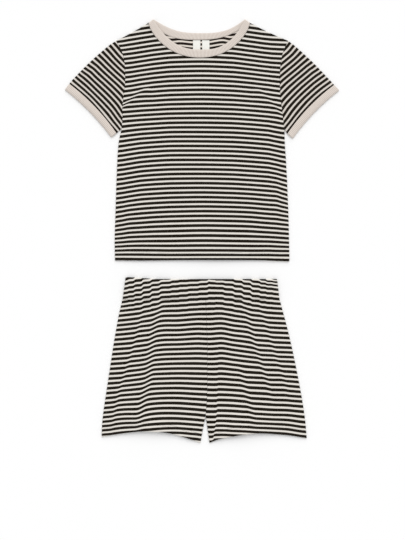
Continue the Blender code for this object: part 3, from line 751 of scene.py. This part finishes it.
def cloth_mesh(columns, rows, place, ring=False):
    """A grid of cloth. place(column, row) gives a corner's point and its place in the knit. On a ring the
    last column meets the first."""
    made = bmesh.new()
    bmesh.ops.create_grid(made, x_segments=columns, y_segments=rows, size=0.5)
    knit = made.loops.layers.uv.new("knit")
    spots = {}
    for corner in made.verts:
        column = round((corner.co.x + 0.5) * columns)
        row = round((corner.co.y + 0.5) * rows)
        corner.co, spots[corner] = place(column, row)
    for face in made.faces:
        for loop in face.loops:
            loop[knit].uv = spots[loop.vert]
    if ring:
        bmesh.ops.remove_doubles(made, verts=made.verts, dist=1e-6)
        bmesh.ops.recalc_face_normals(made, faces=made.faces)
        highest = max(made.faces, key=lambda face: face.calc_center_median().z)
        if highest.normal.z < 0:
            bmesh.ops.reverse_faces(made, faces=made.faces)
    return made


def add_object(name, data):
    """A new object in the scene."""
    made = bpy.data.objects.new(name, data)
    bpy.context.scene.collection.objects.link(made)
    return made


def dress(made, name, material, slot, *nodes):
    """Makes a finished mesh a piece of the part, which stands for these nodes."""
    data = bpy.data.meshes.new(name)
    made.to_mesh(data)
    made.free()
    data.shade_smooth()
    data.materials.append(material)
    piece = add_object(name, data)
    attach(piece, "root")
    if nodes:
        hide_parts(*nodes)
    return piece


def give_wall(piece, thickness):
    """Gives the cloth its thickness, inwards from the face that was modelled."""
    wall = piece.modifiers.new("wall", "SOLIDIFY")
    wall.thickness = thickness
    wall.offset = -1.0
    wall.use_even_offset = True


def jersey_panel(name, columns, rows, at, material, node, wall):
    """A panel of jersey on a grid with these lines. at(across, up) gives its point and place in the knit."""

    def place(column, row):
        return at(columns[column], rows[row])

    made = cloth_mesh(len(columns) - 1, len(rows) - 1, place)
    piece = dress(made, name, material, "striped_jersey", node)
    give_wall(piece, wall)
    return piece


def sew(name, rows, material, slot):
    """Rows of stitches as one mesh. Each row is a list of points on the cloth, a stitch from each to the
    next, sunk by half a thread."""
    made = bmesh.new()
    for row in rows:
        for start, end in zip(row, row[1:]):
            along = end - start
            turn = along.to_track_quat("X", "Z").to_matrix().to_4x4()
            size = Matrix.Diagonal((along.length * 0.44, THREAD / 2, THREAD / 2, 1))
            place = Matrix.Translation((start + end) / 2)
            bmesh.ops.create_icosphere(made, subdivisions=1, radius=1.0, matrix=place @ turn @ size)
    return dress(made, name, material, slot)


def sew_hem(name, surface, width, height, inset):
    """Two rows of stitches along the hem of a panel this wide and high, which leave this share of its width
    free at both ends."""
    count = round(width / STITCH)
    shares = [inset + (1 - 2 * inset) * i / count for i in range(count + 1)]
    rows = [[surface(share, distance / height) for share in shares] for distance in NEEDLE_ROWS]
    return sew(name, rows, DARK_THREAD, "striped_jersey")


# ---- materials ----


def linear(colour):
    """An sRGB hex colour as linear RGBA."""
    parts = [int(colour[i : i + 2], 16) / 255 for i in (1, 3, 5)]
    return (*(x / 12.92 if x <= 0.04045 else ((x + 0.055) / 1.055) ** 2.4 for x in parts), 1.0)


def add_node(tree, kind, inputs=None, output=0, **settings):
    """Adds a node, sets it and its inputs, each to a value or another node's output, and returns its
    output."""
    made = tree.nodes.new("ShaderNode" + kind)
    for name, value in settings.items():
        setattr(made, name, value)
    for name, value in (inputs or {}).items():
        if isinstance(value, bpy.types.NodeSocket):
            tree.links.new(value, made.inputs[name])
        else:
            made.inputs[name].default_value = value
    return made.outputs[output]


def cloth_shader(name, roughness, sheen):
    """A new material, its node tree and its shader, for a soft matt cloth."""
    material = bpy.data.materials.new(name)
    material.use_nodes = True
    tree = material.node_tree
    shader = tree.nodes["Principled BSDF"]
    shader.inputs["Roughness"].default_value = roughness
    shader.inputs["Specular IOR Level"].default_value = 0.12
    shader.inputs["Sheen Weight"].default_value = sheen
    shader.inputs["Sheen Roughness"].default_value = 0.5
    return material, tree, shader


def striped_jersey(name, pitch, dark_share, dark, light):
    """Cotton single jersey knitted from dyed yarn in even stripes: matt, with a soft nap that lightens it
    at a slant, stripe edges that step from wale to wale, and yarn of uneven thickness and depth of dye.
    Real loops are 0.7 by 0.55 mm, and are drawn at twice that so that they show."""
    wale = 1.4 * MM
    course = 1.1 * MM
    material, tree, shader = cloth_shader(name, 0.88, 0.05)
    place = add_node(tree, "UVMap", uv_map="knit")
    along = add_node(tree, "SeparateXYZ", {0: place}, output=1)
    across = tree.nodes[-1].outputs[0]
    # each wale's loops lie a little higher or lower than the next one's
    wobble = add_node(tree, "TexNoise", {"Vector": place, "Scale": 1 / wale, "Detail": 1.0})
    shift = add_node(tree, "MapRange", {0: wobble, 3: -0.35 * MM, 4: 0.35 * MM})
    height = add_node(tree, "Math", {0: along, 1: shift}, operation="ADD")
    from_dark = add_node(tree, "Math", {0: height, 1: pitch / 2}, operation="PINGPONG")
    edge = pitch * dark_share / 2
    soft = 0.22 * MM
    limits = {0: from_dark, 1: edge - soft, 2: edge + soft}
    mask = add_node(tree, "MapRange", limits, interpolation_type="SMOOTHSTEP")
    # slow and quick unevenness of the yarn, which runs along the courses
    streaks = add_node(tree, "Mapping", {"Vector": place, "Scale": (60.0, 900.0, 1.0)})
    yarn = add_node(tree, "TexNoise", {"Vector": streaks, "Scale": 1.0, "Detail": 3.0, "Roughness": 0.6})
    shade = add_node(tree, "MapRange", {0: yarn, 1: 0.3, 2: 0.7, 3: 0.93, 4: 1.06})
    colours = {0: mask, 6: linear(dark), 7: linear(light)}
    striped = add_node(tree, "Mix", colours, output=2, data_type="RGBA")
    colour = add_node(tree, "VectorMath", {0: striped, "Scale": shade}, operation="SCALE")
    tree.links.new(colour, shader.inputs["Base Color"])
    # loops: two legs of a V in each wale, repeated along it at each course
    wales = add_node(tree, "Math", {0: across, 1: wale / 2}, operation="PINGPONG")
    slant = add_node(tree, "Math", {0: wales, 1: 1.2, 2: along}, operation="MULTIPLY_ADD")
    courses = add_node(tree, "Math", {0: slant, 1: course / 2}, operation="PINGPONG")
    legs = add_node(tree, "Math", {0: wales, 1: courses}, operation="MULTIPLY")
    loops = add_node(tree, "Math", {0: legs, 1: 4 / (wale * course)}, operation="MULTIPLY")
    relief = add_node(tree, "Math", {0: yarn, 1: 0.5, 2: loops}, operation="MULTIPLY_ADD")
    bump = add_node(tree, "Bump", {"Strength": 0.35, "Distance": 0.25 * MM, "Height": relief})
    tree.links.new(bump, shader.inputs["Normal"])
    return material


def stone_rib(name, colour, groove_shade):
    """Fine cotton one-by-one rib in an undyed stone shade: matt and a little fuller than the jersey, its
    grooves painted darker than its ribs as shade, with the rows of loops showing as faint steps on each rib."""
    material, tree, shader = cloth_shader(name, 0.9, 0.18)
    place = add_node(tree, "UVMap", uv_map="knit")
    across = add_node(tree, "SeparateXYZ", {0: place})
    along = tree.nodes[-1].outputs[1]
    from_groove = add_node(tree, "Math", {0: across, 1: RIB_PITCH / 2}, operation="PINGPONG")
    limits = {0: from_groove, 1: 0.0, 2: RIB_PITCH / 2}
    mask = add_node(tree, "MapRange", limits, interpolation_type="SMOOTHSTEP")
    yarn = add_node(tree, "TexNoise", {"Vector": place, "Scale": 420.0, "Detail": 3.0})
    shade = add_node(tree, "MapRange", {0: yarn, 1: 0.3, 2: 0.7, 3: 0.95, 4: 1.04})
    # painted shade: the grooves get a darker colour than the ribs, though both are the same yarn
    colours = {0: mask, 6: linear(groove_shade), 7: linear(colour)}
    ribbed = add_node(tree, "Mix", colours, output=2, data_type="RGBA")
    final = add_node(tree, "VectorMath", {0: ribbed, "Scale": shade}, operation="SCALE")
    tree.links.new(final, shader.inputs["Base Color"])
    rows = add_node(tree, "Math", {0: along, 1: 0.5 * MM}, operation="PINGPONG")
    relief = add_node(tree, "Math", {0: rows, 1: 1000.0, 2: yarn}, operation="MULTIPLY_ADD")
    bump = add_node(tree, "Bump", {"Strength": 0.3, "Distance": 0.2 * MM, "Height": relief})
    tree.links.new(bump, shader.inputs["Normal"])
    return material


def white_tape(name, colour):
    """Woven polyester label tape: smooth, bright and slightly silky, in a fine plain weave."""
    material, tree, shader = cloth_shader(name, 0.55, 0.1)
    place = add_node(tree, "UVMap", uv_map="knit")
    weave = add_node(tree, "TexChecker", {"Vector": place, "Scale": 1 / (0.35 * MM)}, output=1)
    cloudy = add_node(tree, "TexNoise", {"Vector": place, "Scale": 150.0, "Detail": 2.0})
    shade = add_node(tree, "MapRange", {0: cloudy, 3: 0.95, 4: 1.03})
    final = add_node(tree, "VectorMath", {0: linear(colour)[:3], "Scale": shade}, operation="SCALE")
    tree.links.new(final, shader.inputs["Base Color"])
    bump = add_node(tree, "Bump", {"Strength": 0.3, "Distance": 0.1 * MM, "Height": weave})
    tree.links.new(bump, shader.inputs["Normal"])
    return material


def sewing_thread(name, colour):
    """Spun polyester sewing thread: matt with a faint gloss, and twisted from two plies, whose twist shows as
    painted shade and highlight along it.
    """
    material, tree, shader = cloth_shader(name, 0.6, 0.1)
    place = add_node(tree, "TexCoord", output=3)
    painted_ply_shading = add_node(tree, "TexWave", {"Vector": place, "Scale": 900.0, "Distortion": 1.0}, output=1)
    # painted shade and highlight: bands along the thread, darker and lighter, stand for the lit and shaded
    # sides of its plies
    shade = add_node(tree, "MapRange", {0: painted_ply_shading, 3: 0.8, 4: 1.1})
    final = add_node(tree, "VectorMath", {0: linear(colour)[:3], "Scale": shade}, operation="SCALE")
    tree.links.new(final, shader.inputs["Base Color"])
    return material


# ---- pieces of the T-shirt ----


def tee_lift(across, up, point):
    """The front falls to the back at the sides and shoulders, and stands up under the neckband."""
    on_shoulder = rise((abs(2 * across - 1) - 1 + 2 * SHOULDER_SHARE) / SHOULDER_FALL + 1)
    near_top = 1 - rise((1 - up) / SHOULDER_FALL)
    hem_drop = TEE_HEM_DROP * (1 - rise(up / HEM_FALL))
    loft = (TEE_LOFT - hem_drop) * arch(across, SIDE_FALL) * (1 - on_shoulder * near_top)
    beside = (point.x - TEE_BELL_X) / TEE_BELL_HALF_WIDTH
    bell = TEE_BELL * math.exp(-(beside**2)) * (1 - rise(up / TEE_BELL_UP))
    return loft + bell + ridges(TEE_FOLDS, point)


def tee_grid(columns, rows):
    """Lines across and up a T-shirt panel, about this many each way."""
    across = grid_lines(columns, SHOULDER_SHARE, 1 - SHOULDER_SHARE, width=370)
    return across, grid_lines(rows, ARMPIT_UP, width=480)


def build_tee_front():
    plan = tee_plan(FRONT_NECK_SEAM)

    def surface(across, up):
        point = plan(across, up)
        left, right, bottom, top = plan.edge_distances(across, up, point)
        side_roll = FOLD_ROLL if up <= ARMPIT_UP else SEAM_ROLL
        height = 2 * JERSEY + LAYER_GAP + tee_lift(across, up, point) + hem_relief(bottom)
        height += UNEVENNESS * uneven(point, 45 * MM, 3) * arch(across, 0.1)
        height += puckers(top, point.x, 6 * MM, 1)
        if up > ARMPIT_UP:
            height += puckers(min(left, right), point.y, 6 * MM, 2)
        height -= rolled(left, side_roll) + rolled(right, side_roll)
        height -= rolled(bottom, HEM_ROLL) + rolled(top, SEAM_ROLL)
        return Vector((*point, height))

    def at(across, up):
        spot = surface(across, up)
        return spot, front_grain(spot.xy)

    piece = jersey_panel("tee_front_cloth", *tee_grid(150, 205), at, TEE_JERSEY, "tee_front", CLOTH)
    height = ARMPIT_HEIGHT * MM / ARMPIT_UP
    stitches = sew_hem("tee_front_hem_stitches", surface, TEE_WIDTH, height, 0.004)


def build_tee_back():
    plan = tee_plan(BACK_NECK_SEAM)

    def at(across, up):
        point = plan(across, up)
        return Vector((*point, JERSEY)), back_grain(point)

    piece = jersey_panel("tee_back_cloth", *tee_grid(110, 120), at, INSIDE_JERSEY, "tee_back", JERSEY)


def ring_stations(upper_count, lower_count, turn_count):
    """(across, roll) round a flattened ring: over the upper layer from across 0 to 1, round the fold,
    back along the lower layer and round the other fold. Roll is 0 where the cloth faces up."""
    upper = [(i / upper_count, 0.0) for i in range(upper_count + 1)]
    far_turn = [(1.0, math.pi * i / turn_count) for i in range(1, turn_count)]
    lower = [(1 - i / lower_count, math.pi) for i in range(lower_count + 1)]
    near_turn = [(0.0, math.pi * (1 + i / turn_count)) for i in range(1, turn_count)]
    return upper + far_turn + lower + near_turn


def ring_surface(upper_plan, lower_plan, thickness, lift, on_fold=False):
    """A ring pressed flat, as a function of (across, roll, up, out): out is how far the point lies
    outside the middle of the ring's wall."""
    radius = (thickness + LAYER_GAP) / 2
    inset = 0.0 if on_fold else radius + thickness / 2

    def at(across, roll, up, out):
        plan = upper_plan if math.cos(roll) > 0 else lower_plan
        start, end = plan(0, up), plan(1, up)
        width = (end - start).length
        share = (inset + across * (width - 2 * inset)) / width
        point = plan(share, up)
        if on_fold:
            section = plan(share, 0) - plan(share, 1)
            aside = Vector((section.y, -section.x)).normalized() * -1
        else:
            aside = (end - point if across > 0.5 else point - start).normalized()
        point = point + aside * (radius + out) * math.sin(roll)
        above = (1 + math.cos(roll)) / 2
        height = thickness + LAYER_GAP / 2 + (radius + out) * math.cos(roll) + above * lift(across, up, point)
        return Vector((*point, height))

    return at


def build_sleeve(side):
    plan = sleeve_plan(side)

    def lift(across, up, point):
        armhole_fall = 0.7 * rise((up - 1 + RING_FALL) / RING_FALL)
        loft = SLEEVE_LOFT * arch(across, RING_FALL) * (1 - armhole_fall)
        loft += 0.35 * MM * uneven(point, 30 * MM, 11) * arch(across, 0.15)
        seam = (point - plan.top(across)).length
        cuff = (point - plan.bottom(across)).length
        loft += puckers(seam, point.y, 6 * MM, 5) + puckers(cuff, point.y, 5 * MM, 6)
        return loft - rolled(seam, SEAM_ROLL) - rolled(cuff, SEAM_ROLL)

    surface = ring_surface(plan, plan, JERSEY, lift)
    stations = ring_stations(80, 40, 8)
    rows = grid_lines(46, width=90)
    grain = sleeve_grain(side, plan)

    def place(column, row):
        spot = surface(*stations[column % len(stations)], rows[row], JERSEY / 2)
        return spot, grain(spot.xy)

    made = cloth_mesh(len(stations), len(rows) - 1, place, ring=True)
    piece = dress(made, f"sleeve_{side}_cloth", SLEEVE_JERSEY, "striped_jersey", "tee_sleeve_" + side)
    give_wall(piece, CLOTH)


# Where a folded band's face has its points: shares of its width from the seam, and over the turn at its
# fold, shares of the turn that still lie ahead
SECTION = (0.0, 0.02, 0.06, 0.12, 0.2, 0.35, 0.5, 0.62)
TURN_SECTION = (1, 0.7, 0.45, 0.25, 0.1, 0.02)
BAND_TURN = 4.0 * MM  # width over which a band thins towards its fold
CUFF_WIDTH = 13.5 * MM


def roundness(up, width):
    """Thickness of a folded band as a share of the whole, thinning towards the fold."""
    past = max(0.0, 1 - (1 - up) * width / BAND_TURN)
    return math.sqrt(1 - past**2)


def band_section(width, thickness, seam_share):
    """(up, out) round a folded band: over its face from the seam, round the fold and back inside."""
    turn = BAND_TURN / width
    ups = [up for up in SECTION if up < 1 - turn] + [1 - turn * part for part in TURN_SECTION]
    half = thickness / 2
    face = []
    for up in ups:
        full = seam_share + (1 - seam_share) * rise(up * width / (1.6 * MM))
        face.append((up, half * full * roundness(up, width)))
    return face + [(1.0, 0.0)] + [(up, -out) for up, out in reversed(face)]


def build_band(name, upper_plan, lower_plan, wall, lift, lengths, width, on_fold, node):
    """A rib band folded double round an opening that is pressed flat, each rib a low ridge across it."""
    surface = ring_surface(upper_plan, lower_plan, wall, lift, on_fold)
    ribs = [round(length / RIB_PITCH) for length in lengths]
    stations = ring_stations(ribs[0] * 4, ribs[1] * 4, 12)
    section = band_section(width, wall, 0.5)

    def place(column, row):
        index = column % len(stations)
        up, out = section[row % len(section)]
        ridge = 1 + RIB_RELIEF / (wall / 2) * math.cos(math.tau * index / 4) * rise(up * 8)
        spot = surface(*stations[index], up, out * ridge)
        spot.z = max(spot.z, 0.0)
        return spot, (column / 4 * RIB_PITCH, up * width)

    made = cloth_mesh(len(stations), len(section), place, ring=True)
    piece = dress(made, name, RIB_CLOTH, "stone_rib", node)


def build_neckband():
    def between(seam, rim):
        seam_path = functools.cache(evened(neck_path(seam)))
        rim_path = functools.cache(evened(neck_path(rim)))
        return lambda across, up: seam_path(across).lerp(rim_path(across), up)

    def lift(across, up, point):
        return NECK_LOFT + FOLD_LOFT * (1 - arch(across, 0.12))

    upper = between(FRONT_NECK_SEAM, FRONT_NECK_RIM)
    lower = between(BACK_NECK_SEAM, BACK_NECK_RIM)
    lengths = (0.232, 0.198)
    build_band("neckband_rib", upper, lower, RIB, lift, lengths, 13 * MM, True, "tee_neckband")


def build_cuff(side):
    plan = cuff_plan(side)

    def lift(across, up, point):
        loft = CUFF_LOFT * arch(across, RING_FALL) * (1 - rise((up - 0.5) / 0.5))
        return loft - CUFF_DROP * (1 - roundness(up, CUFF_WIDTH))

    lengths = (0.121, 0.121)
    name, node = f"cuff_{side}_rib", "tee_cuff_" + side
    build_band(name, plan, plan, CUFF_RIB, lift, lengths, CUFF_WIDTH, False, node)


def build_neck_label(row):
    """A bare woven label, sewn into the neck seam by its upper end, its free end a little curled."""
    name = "neck_label_" + row.side
    width, length = row.width * MM, row.length * MM
    top = neck_path(BACK_NECK_SEAM)(0.5).y - 1.0 * MM
    left = (row.middle - row.width / 2) * MM
    face = JERSEY + LAYER_GAP + TAPE
    tilt = 0.2 * MM * mirrored(row.side)
    columns, rows = 16, 26

    def place(column, row):
        across, down = column / columns, row / rows
        corner = rise((across - 0.5) * 1.6 + down * 0.8 - 0.7)
        curl = 0.5 * MM * corner + 0.15 * MM * math.sin(math.pi * across)
        x = left + width * across + tilt * down
        return Vector((x, top - length * down, face + curl * down)), (width * across, length * down)

    made = cloth_mesh(columns, rows, place)
    bmesh.ops.reverse_faces(made, faces=made.faces)
    piece = dress(made, name + "_tape", LABEL_TAPE, "white_tape", name)
    give_wall(piece, TAPE)
    shares = [0.08 + 0.84 * i / 6 for i in range(7)]
    spots = [Vector((left + width * share, top - 1.3 * MM, face)) for share in shares]
    stitches = sew(name + "_stitches", [spots], LIGHT_THREAD, "white_tape")


# ---- pieces of the shorts ----


def hem_bell(side, across, up, point):
    """Height by which a leg's front stands up at its hem."""
    top_x = FRONT_SEAM_X + mirrored(side) * HEM_BELLS[side] * MM
    beside = (point.x - top_x) / BELL_HALF_WIDTH
    return BELL_HEIGHT * math.exp(-(beside**2)) * rise(1 - up / BELL_UP) * arch(across, SIDE_FALL)


def leg_grid(columns, rows):
    """Lines across and up a leg panel, about this many each way."""
    return grid_lines(columns, width=180), grid_lines(rows, CROTCH_UP, width=250)


def build_leg_front(side):
    plan = leg_plan(side)

    def lift(from_side, up, point):
        above_crotch = rise(up / CROTCH_UP - 0.4)
        off_inseam = rise((1 - from_side) / SIDE_FALL)
        loft = SHORTS_LOFT + UNDER_CASING_LOFT * rise((up - 1 + RING_FALL) / RING_FALL)
        loft *= rise(from_side / SIDE_FALL) * (above_crotch + (1 - above_crotch) * off_inseam)
        loft += hem_bell(side, from_side, up, point)
        return loft + ridges(SHORTS_FOLDS, point) + gathered(point) * rise(from_side / GATHER_END)

    def surface(across, up):
        point = plan(across, up)
        left, right, bottom, top = plan.edge_distances(across, up, point)
        from_side = across if side == "left" else 1 - across
        outer, inner = (left, right) if side == "left" else (right, left)
        height = 2 * JERSEY + LAYER_GAP + lift(from_side, up, point) + hem_relief(bottom)
        height += UNEVENNESS * uneven(point, 35 * MM, 7) * arch(across, 0.1)
        height += puckers(inner, point.y, 5 * MM, 8) + puckers(top, point.x, 7 * MM, 9)
        height -= rolled(outer, FOLD_ROLL) + rolled(inner, SEAM_ROLL if up > CROTCH_UP else FOLD_ROLL)
        height -= rolled(bottom, HEM_ROLL) + rolled(top, SEAM_ROLL)
        return Vector((*point, height))

    def at(across, up):
        spot = surface(across, up)
        return spot, shorts_grain(spot.xy)

    name, node = f"leg_front_{side}", "shorts_front_" + side
    piece = jersey_panel(name + "_cloth", *leg_grid(95, 125), at, SHORTS_JERSEY, node, CLOTH)
    stitches = sew_hem(name + "_hem_stitches", surface, LEG_WIDTH, LEG_HEIGHT, 0.006)


def build_leg_back(side):
    plan = leg_plan(side)

    def at(across, up):
        point = plan(across, up)
        return Vector((*point, JERSEY)), shorts_grain(point, folded=False)

    name, node = f"leg_back_{side}_cloth", "shorts_back_" + side
    piece = jersey_panel(name, *leg_grid(60, 80), at, SHORTS_JERSEY, node, JERSEY)


def build_casing():
    width = CASING_DEPTH

    def lift(across, up, point):
        loft = CASING_LOFT * arch(across, SIDE_FALL) + gathered(point) * arch(across, GATHER_END / 2)
        wrinkle = noise.noise(Vector((point.x / (7 * MM), point.y / (30 * MM), 4)))
        loft += 0.5 * MM * wrinkle * arch(across, 0.02)
        return loft - 1.0 * MM * rise(1 - up * width / (5 * MM))

    surface = ring_surface(casing_plan, casing_plan, CASING, lift)
    stations = ring_stations(300, 90, 10)
    section = band_section(width, CASING, 0.55)

    def place(column, row):
        up, out = section[row % len(section)]
        spot = surface(*stations[column % len(stations)], up, out)
        return spot, shorts_grain(spot.xy)

    made = cloth_mesh(len(stations), len(section), place, ring=True)
    piece = dress(made, "waist_casing_cloth", SHORTS_JERSEY, "striped_jersey", "shorts_waistband")


# ---- floor, light and camera ----


def build_floor():
    made = bmesh.new()
    bmesh.ops.create_grid(made, x_segments=1, y_segments=1, size=4.0)
    data = bpy.data.meshes.new("floor")
    made.to_mesh(data)
    made.free()
    floor = add_object("floor", data)
    floor.location.z = -0.05 * MM
    paper = bpy.data.materials.new("white_paper")
    paper.use_nodes = True
    shader = paper.node_tree.nodes["Principled BSDF"]
    shader.inputs["Base Color"].default_value = linear("#f4f4f4")
    shader.inputs["Roughness"].default_value = 1.0
    shader.inputs["Specular IOR Level"].default_value = 0.0
    data.materials.append(paper)


def light_scene():
    """A broad soft light from above the neck, and an even white surrounding."""
    lamp = bpy.data.lights.new("softbox", "SUN")
    lamp.energy = 1.75
    lamp.angle = math.radians(55)
    softbox = add_object("softbox", lamp)
    softbox.rotation_euler = Vector((-0.15, -1.2, -1.0)).to_track_quat("-Z", "Y").to_euler()
    world = bpy.data.worlds.new("studio")
    world.use_nodes = True
    world.node_tree.nodes["Background"].inputs["Color"].default_value = (1, 1, 1, 1)
    world.node_tree.nodes["Background"].inputs["Strength"].default_value = 0.75
    bpy.context.scene.world = world
    bpy.context.scene.view_settings.view_transform = "Standard"


# The camera hangs above this place, and each of the picture's rows of dots shows this much of the set
VIEW_X = 0.54 * MM
VIEW_Y = -69.3 * MM
DOT = 1.8 * MM
PICTURE_ROWS = 540


def add_camera():
    """Straight above the set, as high as its lens and the size of a dot ask for."""
    lens = bpy.data.cameras.new("camera")
    lens.lens = 90
    lens.sensor_width = 36
    camera = add_object("camera", lens)
    camera.location = (VIEW_X, VIEW_Y, PICTURE_ROWS * DOT * lens.lens / lens.sensor_width)
    bpy.context.scene.camera = camera


add_camera()
BLACK_YARN = "#181208"
TEE_JERSEY = striped_jersey("tee_cotton_jersey", TEE_PITCH, TEE_DARK_SHARE, BLACK_YARN, "#ded9d1")
# painted shade: the sleeves' light stripes are coloured darker than the body's, though they are the same yarn
SLEEVE_JERSEY = striped_jersey("sleeve_cotton_jersey", TEE_PITCH, SLEEVE_DARK_SHARE, BLACK_YARN, "#d2cbc3")
# the knit's inside: its dark a little lighter, as the duller inside of the knit is, and both colours warmer,
# which is painted bounce light from the stone neckband
INSIDE_JERSEY = striped_jersey("inside_cotton_jersey", INSIDE_PITCH, INSIDE_DARK_SHARE, "#1c140d", "#e0d7cd")
SHORTS_JERSEY = striped_jersey("shorts_cotton_jersey", SHORTS_PITCH, SHORTS_DARK_SHARE, BLACK_YARN, "#ded9d1")
# the second colour is painted shade in the rib's grooves
RIB_CLOTH = stone_rib("stone_cotton_rib", "#e5ddd6", "#bcafa4")
LABEL_TAPE = white_tape("woven_label_tape", "#ecebe5")
DARK_THREAD = sewing_thread("dark_sewing_thread", "#2a251e")
LIGHT_THREAD = sewing_thread("light_sewing_thread", "#dcdad4")
build_tee_back()
build_tee_front()
build_neckband()
for label_row in NECK_LABELS:
    build_neck_label(label_row)
for half in ("left", "right"):
    build_sleeve(half)
    build_cuff(half)
    build_leg_back(half)
    build_leg_front(half)
build_casing()
build_floor()
light_scene()
